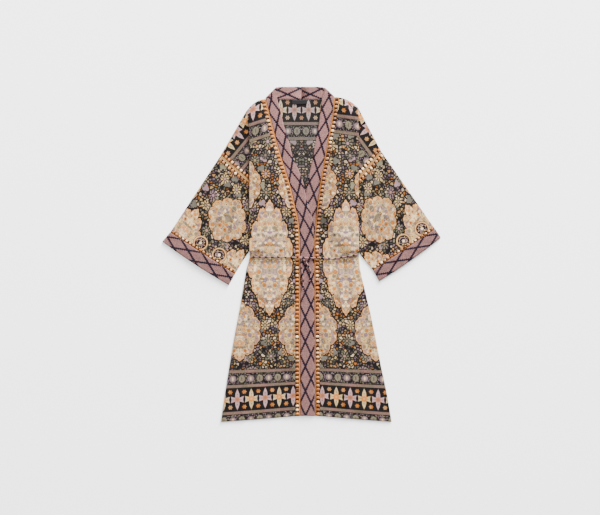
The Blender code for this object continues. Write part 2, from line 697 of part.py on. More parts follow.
def main():
    for obj in list(bpy.data.objects):
        bpy.data.objects.remove(obj)
    print_mat = material("printed_cloth", (0.30, 0.24, 0.20), 0.8)
    band_mat = material("trellis_band_cloth", (0.45, 0.32, 0.33), 0.8)
    tie_mat = material("tie_cord", (0.40, 0.28, 0.30), 0.8)
    back_object(print_mat)
    label_object(material("label_cloth", (0.06, 0.05, 0.05), 0.8))
    knot_object(tie_mat)
    ties = {
        "tie_right": TIE_RIGHT,
        "tie_left": TIE_LEFT,
        "tie_tail_right": TAIL_RIGHT,
        "tie_tail_left": TAIL_LEFT,
    }
    for name, places in ties.items():
        tie_object(name, places, tie_mat)
    for name, side in (("right", RIGHT), ("left", LEFT)):
        rows = front_rows(side, 12, 4, 8)
        points, keep = front_surface(side, rows, 10, 4, 3, 4)
        cloth_object(f"front_{name}", points, keep, False, CLOTH, print_mat)
        cloth_object(f"sleeve_{name}", sleeve_surface(side, 9, 9, 4), None, True, CLOTH, print_mat)
        cloth_object(f"cuff_{name}", cuff_surface(side, 2, 9, 4), None, True, BAND_CLOTH, band_mat)
        cloth_object(f"band_{name}", band_surface(side, rows, 2, 4), None, False, BAND_CLOTH, band_mat)


main()
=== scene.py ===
"""Looks of the kimono coat: printed crepe, trellis bands, beaded edging and the waist tie.

Lengths are in millimetres until a mesh is made. "right" and "left" are the wearer's sides, so the
right side lies at -X. Cloth surfaces are grids of points: rows run across a piece, columns along it.
"""

import math
from collections import namedtuple
from functools import reduce

import bpy
import numpy as np
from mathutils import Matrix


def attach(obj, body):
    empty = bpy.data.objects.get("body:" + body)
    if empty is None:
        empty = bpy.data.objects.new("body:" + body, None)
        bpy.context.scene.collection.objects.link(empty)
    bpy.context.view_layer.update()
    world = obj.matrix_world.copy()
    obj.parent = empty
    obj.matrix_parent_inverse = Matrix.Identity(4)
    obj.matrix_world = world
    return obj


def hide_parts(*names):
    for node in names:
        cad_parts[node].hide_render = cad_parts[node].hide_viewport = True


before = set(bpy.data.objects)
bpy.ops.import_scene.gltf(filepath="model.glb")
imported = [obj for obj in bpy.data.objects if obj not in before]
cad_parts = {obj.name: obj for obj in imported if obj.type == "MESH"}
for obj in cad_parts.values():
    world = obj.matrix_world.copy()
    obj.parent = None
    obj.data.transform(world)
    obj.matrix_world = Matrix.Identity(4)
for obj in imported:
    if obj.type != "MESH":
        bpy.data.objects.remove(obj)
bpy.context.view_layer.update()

MM = 0.001

# Camera straight above, as in the photograph, and the width of surface that it takes in
CAMERA_CENTRE = (-0.0045, -0.00975)
CAMERA_HEIGHT = 5.0
CAMERA_WIDTH = 1.8
SENSOR = 36.0
FLOOR_Z = -0.0003

# Cloth and its layers
CLOTH = 1.0
BAND_CLOTH = 1.6
SEAM_GAP = 0.4
HEM_Y = -502.5
TOP_Y = 502.5
NECKLINE_Y = 464.0
TIE_DIAMETER = 4.0
BACK_Z = CLOTH / 2
LAYER_STEP = 1.5
RETURN_STEP = 2.8
BODY_STEP = 4.0
UNDER_SLEEVE_Z = BACK_Z + LAYER_STEP
LOW_Z = UNDER_SLEEVE_Z + LAYER_STEP
RETURN_Z = LOW_Z + RETURN_STEP
BODY_Z = RETURN_Z + BODY_STEP
BASE_Z = 2.4
SLEEVE_GAP_Z = 1.9
SLEEVE_LOFT = 1.8
CUFF_GAP_Z = 2.2
CUFF_END_BOW = 3.5
NECK_BAND_Z = BAND_CLOTH / 2

# Label and tie
LABEL_X = (-30.0, 16.0)
LABEL_TOP_Y = 462.5
LABEL_DEPTH = 12.5
LABEL_CLOTH = 0.8
LABEL_GAP = 0.3
LABEL_BOW = 0.5
LABEL_SAG = 1.4
TIE_CLEARANCE = 0.4
TIE_STEP = 3.0
KNOT_AT = (1.5, -11.0)
KNOT_STRAND = 5.4
KNOT_SIZE = (15.0, 12.0, 8.0)

# Where the tuck starts and ends, and how its layers spread out where it stops
TUCK_LOW_FLAT = -8.0
TUCK_LOW_FULL = 10.0
TUCK_TOP_RAMP = 24.0
TUCK_MOUTH = 8.0
FLAT_SPREAD = 34.0
COVER_START = 60.0
COVER_FULL = 14.0
SHOULDER_POWER = 2.2
HEM_POWER = 1.15
SHOULDER_REACH = 150.0
HEM_REACH = 260.0

# Where a sleeve goes under a front, how a front settles beside its band, and the back's hem
FOLD_Y = 100.0
HIDE_SPREAD = 24.0
HIDE_FADE = 0.12
BAND_EASE = 45.0
DEEPEST_FOLD = -0.4
BACK_HEM_INSET = 3.0
BACK_FINE_DEPTH = 60.0

# Fine relief of the upper layers
CRINKLE_RISE = 0.22
PUCKER_RISE = 0.85
PUCKER_PITCH = 12.5
PUCKER_ABOVE = 20.0
PUCKER_BELOW = 34.0
WAIST_Y = -10.0
DEEPEST_CRINKLE = -0.3
FRONT_RELIEF_FADE = 0.08
TUBE_RELIEF_FADE = 0.06

# Grid step of the cloth surfaces, closer where the tuck starts and below the shoulder, and the walls
# that show
GRID = 3.0
TUCK_GRID = 1.8
SHOULDER_GRID = 1.75
LOOK_CLOTH = 0.8
FRONT_LOWEST = CLOTH + LOOK_CLOTH / 2 + 0.15
BAND_CROWN = 0.5
BAND_ROUND = 9.0

# Grid cells: round a front's fold, along its return and across its dropped shoulder, then those of the
# tubes and of the bands, across, round a fold and along
FRONT_COUNTS = (8, 16, 24)
TUBE_ACROSS = 58
TUBE_ARC = 8
SLEEVE_ALONG = 66
CUFF_ALONG = 12
BAND_ACROSS = 12
BAND_ARC = 10
BACK_ROWS = (220, 30)
BACK_COLUMNS = 131
LABEL_GRID = (9, 24)
KNOT_POINTS = 97

# Print: the layout's repeat, and where it lies on the fronts, the back and the sleeves
REPEAT_WIDTH = 180.0
REPEAT_HEIGHT = 438.0
SLEEVE_REPEAT_HEIGHT = 330.0
FRONT_CENTRE = (92.0, 492.0)
SLEEVE_CENTRE = (122.0, 130.0)
BACK_CENTRE = (180.0, 492.0)
HEM_BORDER_START = 30.0
TOP_BORDER_START = -3.0
ROUNDEL_START = 1000.0
ROUNDEL_ASIDE = 33.0
ROUNDEL_HEIGHT = 23.0
NO_EDGING = 500.0
STRIPE_DEPTH = 75.0
STRIPE_ROWS = (STRIPE_DEPTH, 120.0, -6.0)
ROSETTE_ROWS = (97.5, -28.5)
FLOWER_ROW = 34.5
BORDER_DEPTH = 126.0
TOP_BORDER_SQUEEZE = 0.94
DROPPED_STRIPE_FALL = 88.0
DROPPED_STRIPE_SHIFT = 30.0
FLOWER_PITCH = 42.0
ROSETTE_PITCH = 27.0
TRELLIS_WIDTH = 34.0
TRELLIS_LENGTH = 74.0
TRELLIS_LINE = 6.2
NECK_PALE_FROM = 560.0
NECK_PALE_FULL = 900.0
PEBBLE_PITCH = 8.8
PETAL_PITCH = 7.8
THREAD = 0.9

# Beads beside the seams: pitch, distance from the seam, and each kind's length, width and height
BEAD_PITCH = 12.2
BEAD_OFFSET = 8.6
CUFF_BEAD_OFFSET = 5.0
PETAL_BEAD = (8.4, 10.2, 2.8)
CUFF_BEAD = (7.2, 6.6, 2.8)
BEAD_RISE = 0.28
BEAD_STRAY = 0.4

# The pair of cords sewn along each armhole seam
PIPING_DIAMETER = 1.3
PIPING_OFFSET = 1.7
PIPING_RISE = 0.3
PIPING_STEP = 2.0

# The half bands meet at the middle of the back neck
NECK_END_RIGHT_X = -SEAM_GAP / 2
NECK_END_LEFT_X = SEAM_GAP / 2

Edge = namedtuple("Edge", "y x")
Band = namedtuple("Band", "y seam_x free_x z")
Turn = namedtuple("Turn", "seam_x seam_y free_x free_y")
Fold = namedtuple("Fold", "x0 y0 x1 y1 width height")
Place = namedtuple("Place", "x y lift")
Side = namedtuple(
    "Side",
    "sign neck shoulder armhole underarm cuff_seam_top cuff_seam_low cuff_top cuff_low under_bow hem_rise"
    " stripe_drop stripe_rise roundel_centre edge band turn",
)


def table_of(kind, *rows):
    """A short table: a named row for each group of values."""
    return [kind(*row) for row in rows]


# Soft troughs and ridges of the top layers: two ends, half width and height
SOFT_FOLDS = table_of(
    Fold,
    (-148, -30, -156, -130, 9, 2.9), (-128, -22, -138, -150, 10, -0.5),
    (-96, -26, -112, -330, 15, 2.1), (-52, -26, -56, -210, 13, 1.8), (-70, 10, -66, 120, 13, 1.6),
    (90, -24, 88, -120, 8, -0.4), (117, -24, 120, -190, 9, 2.7), (148, -26, 170, -280, 13, 2.1),
    (74, -30, 84, -360, 13, 1.8), (92, 250, 84, 110, 9, 2.2), (-190, 196, -206, 20, 12, 2.6),
    (-270, 232, -300, 60, 17, 2.1), (-236, 150, -262, 0, 13, 1.6), (253, 284, 282, 170, 10, 2.7),
    (200, 190, 222, 30, 13, 2.1), (262, 196, 326, 70, 15, 1.8),
)

# The tie from each side seam into the knot, and its two free tails
TIE_RIGHT = table_of(
    Place,
    (-153.5, -6, 0.0), (-144, -8, 0.0), (-110, -9, 0.1), (-60, -9, 0.1), (-24, -9.5, 0.2),
    (-3.5, -10.5, 1.0),
)
TIE_LEFT = table_of(
    Place,
    (166, -1, 0.0), (153, -4, 0.0), (120, -9.5, 0.1), (91, -14, 0.1), (54, -10, 0.2),
    (34, -11.5, 0.4), (6.5, -11.0, 1.0),
)
TAIL_RIGHT = table_of(
    Place,
    (1.0, -14.0, 0.8), (-1.5, -34, 0.0), (2.5, -60, 0.0), (5.5, -84, 0.0), (3.0, -106, 0.0),
)
TAIL_LEFT = table_of(
    Place,
    (4.5, -14.0, 1.0), (17, -29, 0.0), (25, -45, 0.0), (27.5, -66, 0.0), (24, -82, 0.0),
)

RIGHT = Side(
    sign=-1,
    neck=(-107.0, 464.5),
    shoulder=(-166.0, 428.0),
    armhole=(-243.0, 294.8),
    underarm=(-65.5, 136.3),
    cuff_seam_top=(-393.6, 65.3),
    cuff_seam_low=(-201.0, -59.3),
    cuff_top=(-417.0, 37.5),
    cuff_low=(-219.0, -92.3),
    under_bow=4.0,
    hem_rise=18.5,
    stripe_drop=44.0,
    stripe_rise=0.32,
    roundel_centre=126.0,
    edge=table_of(
        Edge,
        (428, -166.0), (376, -157.5), (330, -156.6), (8, -156.0), (-6, -155.5), (-20, -158.0),
        (-38, -163.0), (-101, -174.5), (-164, -185.0), (-236, -199.0), (-326, -214.5),
        (-416, -229.0), (HEM_Y, -241.5),
    ),
    band=table_of(
        Band,
        (HEM_Y, -4.0, 39.5, 4.2), (-200, -4.8, 38.5, 4.2), (20, -5.0, 37.5, 4.2),
        (70, -6.5, 36.5, 4.2), (107, -11.0, 33.0, 4.2), (142, -19.5, 22.0, 4.2),
        (177, -27.5, 13.0, 4.2), (215, -36.9, 5.5, 3.8), (248, -47.0, -6.5, 3.2),
        (286, -59.5, -24.0, 2.8), (347, -77.5, -40.5, 2.8), (381, -86.4, -51.5, 2.9),
        (416, -95.4, -60.0, 3.2), (464.5, -107.0, -72.6, 3.4),
    ),
    turn=table_of(
        Turn,
        (-107.5, 466.0, -77.0, 489.0), (-108.0, 468.0, -75.0, 501.3), (-91.0, 464.7, -68.0, 501.9),
        (-66.0, 464.4, -54.0, 502.3), (-34.0, 464.4, -30.0, TOP_Y),
        (NECK_END_RIGHT_X, 464.4, NECK_END_RIGHT_X, TOP_Y),
    ),
)

LEFT = Side(
    sign=1,
    neck=(98.0, 471.0),
    shoulder=(169.0, 440.0),
    armhole=(239.4, 307.4),
    underarm=(83.7, 127.4),
    cuff_seam_top=(400.5, 74.9),
    cuff_seam_low=(215.1, -48.2),
    cuff_top=(417.0, 50.0),
    cuff_low=(233.4, -80.3),
    under_bow=-3.0,
    hem_rise=18.5,
    stripe_drop=33.0,
    stripe_rise=0.134,
    roundel_centre=64.0,
    edge=table_of(
        Edge,
        (440, 169.0), (400, 170.5), (340, 171.0), (12, 171.5), (-16, 172.5), (-56, 178.0),
        (-101, 188.5), (-164, 203.5), (-227, 217.0), (-326, 236.5), (-416, 255.5), (HEM_Y, 270.0),
    ),
    band=table_of(
        Band,
        (HEM_Y, 41.5, -2.5, 2.2), (-200, 39.5, -3.0, 2.2), (16, 38.3, -3.0, 2.2),
        (48, 38.5, -2.5, 2.2), (74, 40.5, -1.0, 2.2), (108, 44.1, 2.5, 2.2), (143, 47.7, 6.5, 2.2),
        (177, 52.5, 12.0, 2.2), (212, 56.3, 17.0, 2.2), (246, 61.8, 24.5, 2.3),
        (288, 69.3, 34.0, 2.5), (347, 80.2, 43.5, 2.7), (378, 85.5, 50.0, 2.9),
        (416, 92.5, 55.0, 3.2), (471, 98.0, 62.0, 3.4),
    ),
    turn=table_of(
        Turn,
        (98.3, 471.4, 68.0, 489.0), (98.5, 472.0, 69.5, 499.5), (84.0, 467.5, 63.0, 501.4),
        (62.0, 464.6, 51.0, 502.3), (32.0, 464.4, 28.0, TOP_Y),
        (NECK_END_LEFT_X, 464.4, NECK_END_LEFT_X, TOP_Y),
    ),
)


def smooth01(t):
    """0 below 0, 1 above 1, and a smooth step between."""
    t = np.clip(t, 0.0, 1.0)
    return t * t * (3 - 2 * t)


def mix(a, b, t):
    """From a at t = 0 to b at t = 1."""
    return a + (b - a) * t


def column(table, name):
    """One named column of a table."""
    return np.array([getattr(row, name) for row in table], float)


def through(table, name, y):
    """The named column at height y: a cubic through the table's rows, whose slope at each row is the mean
    of the slopes on its two sides."""
    ys, vs = column(table, "y"), column(table, name)
    order = np.argsort(ys)
    ys, vs = ys[order], vs[order]
    slope = np.diff(vs) / np.diff(ys)
    tangent = np.concatenate([slope[:1], (slope[:-1] + slope[1:]) / 2, slope[-1:]])
    y = np.clip(y, ys[0], ys[-1])
    i = np.clip(np.searchsorted(ys, y) - 1, 0, len(ys) - 2)
    h = ys[i + 1] - ys[i]
    t = (y - ys[i]) / h
    rise = vs[i] * (1 + 2 * t) * (1 - t) ** 2 + vs[i + 1] * t * t * (3 - 2 * t)
    return rise + h * (tangent[i] * t * (1 - t) ** 2 - tangent[i + 1] * t * t * (1 - t))


def soft_folds(x, y):
    """Sum of the soft folds: each is a bell across its own line, faded towards both ends."""
    total = np.zeros(np.broadcast(x, y).shape)
    for f in SOFT_FOLDS:
        dx, dy = f.x1 - f.x0, f.y1 - f.y0
        length = math.hypot(dx, dy)
        along = ((x - f.x0) * dx + (y - f.y0) * dy) / length**2
        across = ((x - f.x0) * dy - (y - f.y0) * dx) / length
        fade = smooth01((along + 0.15) / 0.4) * (1 - smooth01((along - 0.6) / 0.5))
        total = total + f.height * np.exp(-((across / f.width) ** 2)) * fade
    return total


# The stacked layers

def edge_out(side, y):
    """Distance outwards from X = 0 of the front's outer fold, and of its side seam below the waist."""
    return side.sign * through(side.edge, "x", y)


def tuck_weight(side, y):
    """1 where the tuck is full, 0 at the shoulder and below the waist."""
    low = np.clip((y - TUCK_LOW_FLAT) / (TUCK_LOW_FULL - TUCK_LOW_FLAT), 0, 1)
    top = np.clip((side.shoulder[1] - y) / TUCK_TOP_RAMP, 0, 1)
    return low * top


def tuck_inner(side, y):
    """Outward distance of the tuck's inner fold above the underarm, and of the side seam below it."""
    deep = edge_out(side, side.underarm[1]) - side.sign * side.underarm[0]
    depth = np.interp(
        y,
        [TUCK_LOW_FULL, side.underarm[1], side.shoulder[1] - TUCK_TOP_RAMP],
        [TUCK_MOUTH, deep, TUCK_MOUTH],
    )
    return edge_out(side, y) - depth


def hidden(side, out, across):
    """1 under the front's fold and 0 beyond it, also faded towards the sleeve's top fold."""
    return (1 - smooth01((out - edge_out(side, FOLD_Y) - 2) / HIDE_SPREAD)) * smooth01(across / HIDE_FADE)


def sleeve_under_z(side, out, across):
    """The sleeve's lower wall: on the floor like the back where it shows, above the back under the front."""
    return BACK_Z + (UNDER_SLEEVE_Z - BACK_Z) * hidden(side, out, across)


def sleeve_top_z(side, out, y, across):
    """The sleeve's upper wall and the dropped shoulder: above the lower wall, lofted where it shows."""
    deep = hidden(side, out, across)
    gap = SLEEVE_GAP_Z - (SLEEVE_GAP_Z - LAYER_STEP) * deep
    loft = SLEEVE_LOFT * np.sin(math.pi * np.clip(across, 0, 1)) + soft_folds(side.sign * out, y)
    return sleeve_under_z(side, out, across) + gap + np.maximum(loft, 0) * (1 - deep)


def body_z(side, out, y, seam_out):
    """The front's body: level with the band at its seam, low in the middle, and up over the tuck."""
    seam_z = through(side.band, "z", y)
    base = mix(seam_z, BASE_Z, smooth01((out - seam_out) / BAND_EASE))
    start = tuck_inner(side, y) - COVER_START
    cover = tuck_weight(side, y) * smooth01((out - start) / (COVER_START - COVER_FULL))
    return mix(base, BODY_Z, cover) + np.maximum(soft_folds(side.sign * out, y), DEEPEST_FOLD)


# Middle surfaces as grids of points

def row_lift(side, y, across):
    """How far a row bends up towards the neck at the shoulder, and up towards the middle at the hem."""
    neck_rise = side.neck[1] - side.shoulder[1]
    near_shoulder = smooth01((y - side.shoulder[1] + SHOULDER_REACH) / SHOULDER_REACH)
    near_hem = 1 - smooth01((y - HEM_Y) / HEM_REACH)
    across = np.clip(across, 0, 1)
    at_shoulder = neck_rise * near_shoulder * (1 - across**SHOULDER_POWER)
    return at_shoulder + side.hem_rise * near_hem * (1 - across) ** HEM_POWER


def front_surface(side, rows, n_body):
    """The front as one cloth: rows from hem to shoulder, columns from the band seam to the outer fold,
    round it, back along the return, round the inner fold and out to the armhole seam. Where the tuck stops,
    the folded row is mixed with a flat one in which the same columns lie side by side."""
    n_arc, n_return, n_shoulder = FRONT_COUNTS
    y = rows[:, None]
    seam_y = y + row_lift(side, y, 0.0)
    seam = side.sign * through(side.band, "seam_x", seam_y)
    edge, inner, weight = edge_out(side, y), tuck_inner(side, y), tuck_weight(side, y)
    outer_r, inner_r = BODY_STEP / 2, RETURN_STEP / 2
    turn = np.linspace(0, math.pi, n_arc + 1)[None, 1:]
    above = rows >= side.underarm[1] - 1e-6

    # Folded rows
    t = np.linspace(0, 1, n_body + 1)[None, :]
    body = mix(seam, edge - outer_r, t)
    outs = [body, edge - outer_r + outer_r * np.sin(turn)]
    zs = [body_z(side, body, y, seam), (BODY_Z + RETURN_Z) / 2 + outer_r * np.cos(turn)]
    t_return = np.linspace(0, 1, n_return + 1)[None, 1:]
    outs += [mix(edge - outer_r, inner + inner_r, t_return), inner + inner_r - inner_r * np.sin(turn)]
    zs += [np.full((1, n_return), RETURN_Z), (RETURN_Z + LOW_Z) / 2 + inner_r * np.cos(turn)]
    ones = np.ones_like(y)
    folded_out = np.concatenate([part * ones for part in outs], axis=1)
    folded_z = np.concatenate([part * ones for part in zs], axis=1)
    folded_across = np.concatenate([t * ones, np.ones((len(rows), 2 * n_arc + n_return))], axis=1)

    # Flat rows
    zone = np.where(above[:, None], 2 * n_arc + n_return, n_arc + n_return)
    k = np.arange(1, 2 * n_arc + n_return + 1)[None, :]
    start = edge - FLAT_SPREAD
    flat_out = np.concatenate([mix(seam, start, t), mix(start, edge, np.minimum(k / zone, 1))], axis=1)
    flat_across = (flat_out - seam) / (edge - seam)
    flat_z = body_z(side, flat_out, y, seam)

    out = mix(flat_out, folded_out, weight)
    z = mix(flat_z, folded_z, weight)
    across = mix(flat_across, folded_across, weight)
    points_y = y + row_lift(side, y, across)

    # The dropped shoulder is ruled from the inner fold to the armhole seam
    share = np.clip((side.shoulder[1] - y) / (side.shoulder[1] - side.underarm[1]), 0, 1)
    seam_x = side.sign * mix(side.armhole[0], side.underarm[0], share)
    seam_y = mix(side.armhole[1], side.underarm[1], share)
    t_out = np.linspace(0, 1, n_shoulder + 1)[None, 1:]
    drop_out = mix(out[:, -1:], seam_x, t_out)
    drop_y = mix(points_y[:, -1:], seam_y, t_out)
    low = sleeve_top_z(side, drop_out, drop_y, share)
    drop_z = mix(z[:, -1:], low, smooth01(t_out * 3))
    sheets = (side.sign * out, points_y, z), (side.sign * drop_out, drop_y, drop_z)
    points = np.concatenate([np.stack(np.broadcast_arrays(*sheet), axis=-1) for sheet in sheets], axis=1)
    cut = n_body + n_arc + n_return
    keep = np.ones((len(rows) - 1, points.shape[1] - 1), bool)
    keep[~above[:-1], cut:] = False
    return points, keep


def tube_surface(side, ends, n_along, cloth, heights, low_bow=0.0, end_bow=0.0):
    """A flattened tube: each ring runs out along the lower wall, round the low edge, back along the upper
    wall and round the top fold. ends are its four corners, top and low at each end. low_bow curves the low
    edge inwards between its ends, and end_bow curves the far opening outwards."""
    top_a, low_a, top_b, low_b = (np.array(p, float) for p in ends)
    s = np.linspace(0, 1, n_along + 1)[:, None]
    flat = np.linspace(0, 1, TUBE_ACROSS + 1)[None, :]
    turn = np.linspace(0, math.pi, TUBE_ARC + 1)[None, 1:-1]
    width = np.hypot(*(low_a - top_a))
    inwards = (top_a - low_a) / width
    onwards = (top_b - top_a) / np.hypot(*(top_b - top_a))

    def place(across):
        across = np.broadcast_to(across, (len(s), across.shape[1]))[..., None]
        along = s[..., None]
        top = top_a + (top_b - top_a) * along
        low = low_a + (low_b - low_a) * along + inwards * low_bow * 4 * along * (1 - along)
        return top + (low - top) * across + onwards * end_bow * along * 4 * across * (1 - across)

    def wall(across, upper):
        xy = place(across)
        under, over = heights(side, side.sign * xy[..., 0], xy[..., 1], across)
        return np.concatenate([xy, (over if upper else under)[..., None]], axis=-1)

    inset = cloth / width
    folds = np.array([[inset, 1 - inset]])
    under, over = wall(folds, False)[..., 2], wall(folds, True)[..., 2]
    half, middle = (over - under) / 2, (over + under) / 2
    span = inset + (1 - 2 * inset) * flat

    def fold(across, edge, sign):
        z = middle[:, edge] + sign * half[:, edge] * np.cos(turn)
        return np.concatenate([place(across), z[..., None]], axis=-1)

    low_fold = fold(1 - inset + np.sin(turn) * inset, slice(1, 2), -1)
    top_fold = fold(inset - np.sin(turn) * inset, slice(0, 1), 1)
    return np.concatenate([wall(span, False), low_fold, wall(span[:, ::-1], True), top_fold], axis=1)


def shifted(p, q, distance):
    """Point p moved towards q by a distance."""
    p, q = np.array(p, float), np.array(q, float)
    return p + (q - p) * distance / np.hypot(*(q - p))


def sleeve_surface(side):
    """The sleeve, from the armhole seam to the cuff seam, short of both by half a seam gap."""
    ends = (
        shifted(side.armhole, side.cuff_seam_top, SEAM_GAP),
        shifted(side.underarm, side.cuff_seam_low, SEAM_GAP),
        shifted(side.cuff_seam_top, side.armhole, SEAM_GAP / 2),
        shifted(side.cuff_seam_low, side.underarm, SEAM_GAP / 2),
    )

    def heights(side, out, y, across):
        return sleeve_under_z(side, out, across), sleeve_top_z(side, out, y, across)

    return tube_surface(side, ends, SLEEVE_ALONG, CLOTH, heights, low_bow=side.under_bow)


def cuff_surface(side):
    """The cuff band, a short double-cloth tube sewn to the sleeve's end."""
    ends = (
        shifted(side.cuff_seam_top, side.cuff_top, SEAM_GAP / 2),
        shifted(side.cuff_seam_low, side.cuff_low, SEAM_GAP / 2),
        side.cuff_top,
        side.cuff_low,
    )

    def heights(side, out, y, across):
        low = np.full(np.shape(out), BAND_CLOTH / 2)
        return low, low + CUFF_GAP_Z + SLEEVE_LOFT * np.sin(math.pi * np.clip(across, 0, 1))

    return tube_surface(side, ends, CUFF_ALONG, BAND_CLOTH, heights, end_bow=CUFF_END_BOW)


def band_surface(side, rows):
    """Half of the long band: up the front edge row by row, folded over at the neck along a slanting line,
    then along the back neck to the middle. Column 0 is the sewn edge and the last one is the free edge."""
    y = rows + row_lift(side, rows, 0.0)
    seam = np.stack([through(side.band, "seam_x", y) - side.sign * SEAM_GAP, y], axis=-1)
    free = np.stack([through(side.band, "free_x", y), y], axis=-1)
    z = through(side.band, "z", y)
    fold_z, radius = (z[-1] + NECK_BAND_Z) / 2, (z[-1] - NECK_BAND_Z) / 2
    lead, line = side.turn[0], side.turn[1]
    seam_rows, free_rows, zs = [seam], [free], [z]
    seam_rows.append([[lead.seam_x, lead.seam_y]])
    free_rows.append([[lead.free_x, lead.free_y]])
    zs.append(z[-1:])
    turn = np.linspace(0, math.pi, BAND_ARC + 1)
    ends = np.array([[line.seam_x, line.seam_y], [line.free_x, line.free_y]])
    along = (ends[1] - ends[0]) / np.hypot(*(ends[1] - ends[0]))
    outwards = np.array([-along[1], along[0]]) * -side.sign
    for angle in turn:
        push = outwards * (math.sin(angle) - 1) * radius
        seam_rows.append([ends[0] + push])
        free_rows.append([ends[1] + push])
        zs.append([fold_z + radius * math.cos(angle)])
    back = side.turn[2:]
    seam_rows.append([[row.seam_x, row.seam_y] for row in back])
    free_rows.append([[row.free_x, row.free_y] for row in back])
    zs.append(np.full(len(back), NECK_BAND_Z))
    seam, free, z = np.concatenate(seam_rows), np.concatenate(free_rows), np.concatenate(zs)
    t = np.linspace(0, 1, BAND_ACROSS + 1)[None, :, None]
    xy = seam[:, None] + (free - seam)[:, None] * t
    return np.concatenate([xy, np.repeat(z[:, None, None], BAND_ACROSS + 1, axis=1)], axis=-1)


def front_top_z(x, y):
    """Height of the uppermost cloth face at a place on the front."""
    side = RIGHT if x < through(RIGHT.band, "seam_x", y) else LEFT
    on_right_band = through(RIGHT.band, "seam_x", y) <= x <= through(RIGHT.band, "free_x", y)
    if on_right_band:
        return float(through(RIGHT.band, "z", y)) + BAND_CLOTH / 2
    seam = side.sign * through(side.band, "seam_x", y)
    return float(body_z(side, side.sign * x, np.float64(y), seam)) + CLOTH / 2


def read_off(at, run, points):
    """Places at some distances along a line of points, whose own distances along it are run."""
    return np.stack([np.interp(at, run, points[:, k]) for k in range(3)], axis=-1)


def rounded_route(points, step):
    """A smooth curve through the points, read off at an even step."""
    p = np.array(points, float)
    padded = np.concatenate([[2 * p[0] - p[1]], p, [2 * p[-1] - p[-2]]])
    fine = []
    for a, b, c, d in zip(padded, padded[1:], padded[2:], padded[3:]):
        t = np.linspace(0, 1, 20, endpoint=False)[:, None]
        square, cube = (2 * a - 5 * b + 4 * c - d) * t**2, (3 * b - a - 3 * c + d) * t**3
        fine.append((2 * b + (c - a) * t + square + cube) / 2)
    fine = np.concatenate(fine + [p[-1:]])
    run = np.concatenate([[0], np.cumsum(np.linalg.norm(np.diff(fine, axis=0), axis=1))])
    return read_off(np.linspace(0, run[-1], max(3, round(run[-1] / step) + 1)), run, fine)


# Cloth meshes

def crinkles(x, y):
    """The crepe's fine unevenness: a sum of plane waves in seeded directions, 18 to 46 mm long."""
    rng = np.random.default_rng(5)
    total = np.zeros(np.broadcast(x, y).shape)
    for length in np.linspace(18.0, 46.0, 9):
        turn = rng.uniform(0, math.pi)
        phase = 2 * math.pi * (x * math.cos(turn) + y * math.sin(turn)) / length
        total += np.sin(phase + rng.uniform(0, 2 * math.pi)) * length
    return total * CRINKLE_RISE / 46.0


def puckers(x, y, tie_y):
    """Small pleats where the tie draws the cloth in: upright waves that are flat under the tie itself and
    fade away from it, further below than above."""
    off = y - tie_y
    reach = np.where(off > 0, PUCKER_ABOVE, PUCKER_BELOW)
    fade = np.exp(-((off / reach) ** 2)) * (1 - np.exp(-((off / TIE_DIAMETER) ** 2)))
    wave = np.sin(2 * math.pi * (x + 0.12 * off) / PUCKER_PITCH + 1.7 * np.sin(x / 23.0))
    return PUCKER_RISE * fade * wave


def run_length(points, axis):
    """Distance along a grid's rows (axis 1) or columns (axis 0) from its first point, at every point."""
    steps = np.linalg.norm(np.diff(points, axis=axis), axis=-1)
    start = np.zeros_like(np.take(steps, [0], axis=axis))
    return np.concatenate([start, np.cumsum(steps, axis=axis)], axis=axis)


def finished(mesh, mat, slot, *nodes):
    """A mesh as a piece that rides on the coat, in its material, in place of CAD nodes; slot is not used."""
    mesh.shade_smooth()
    mesh.materials.append(mat)
    obj = bpy.data.objects.new(mesh.name, mesh)
    bpy.context.scene.collection.objects.link(obj)
    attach(obj, "root")
    if nodes:
        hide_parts(*nodes)
    return obj


def grid_faces(n_rows, n_cols, closed):
    """Corners of a grid's cells. Where it is closed, its last column is joined to its first."""
    j, i = np.meshgrid(np.arange(n_rows - 1), np.arange(n_cols if closed else n_cols - 1), indexing="ij")
    low, high, k = j * n_cols, (j + 1) * n_cols, (i + 1) % n_cols
    return np.stack([low + i, low + k, high + k, high + i], axis=-1)


def corners_of(left, right):
    """A map's values at each cell's corners, from those at its left and at its right in each row."""
    return np.stack([left[:-1], right[:-1], right[1:], left[1:]], axis=2)


def mesh_of(name, points, faces, maps):
    """A mesh in metres from points in millimetres, with a UV map for each array of corner values."""
    mesh = bpy.data.meshes.new(name)
    mesh.from_pydata(points * MM, [], faces)
    for map_name, values in maps.items():
        layer = mesh.uv_layers.new(name=map_name)
        layer.data.foreach_set("uv", values.astype(np.float32).ravel())
    mesh.update()
    return mesh


def cloth_piece(name, points, maps, mat, slot, wall, keep=None, closed=False):
    """A grid of points as a cloth with a wall, in place of the solid of its name. maps gives each UV map as
    (left, right): its values at the left and right columns of every cell, at the grid's rows, so that a
    closed ring can start anew at its seam."""
    faces = grid_faces(*points.shape[:2], closed)
    kept = np.ones(faces.shape[:2], bool) if keep is None else keep
    used, faces = np.unique(faces[kept], return_inverse=True)
    maps = {key: corners_of(*ends)[kept] for key, ends in maps.items()}
    mesh = mesh_of(name, points.reshape(-1, 3)[used], faces.reshape(-1, 4).tolist(), maps)
    obj = finished(mesh, mat, slot, name.replace("_cloth", ""))
    thickness = obj.modifiers.new("wall", "SOLIDIFY")
    thickness.thickness = wall * MM
    thickness.offset = 0.0
    return obj


def both(maps):
    """Maps that run on over a sheet: the left and right values of each are one grid's."""
    return {key: (values[:, :-1], values[:, 1:]) for key, values in maps.items()}


def pair(a, b):
    """Two values for each point of a grid, side by side in the last axis."""
    return np.stack(np.broadcast_arrays(a, b), axis=-1)


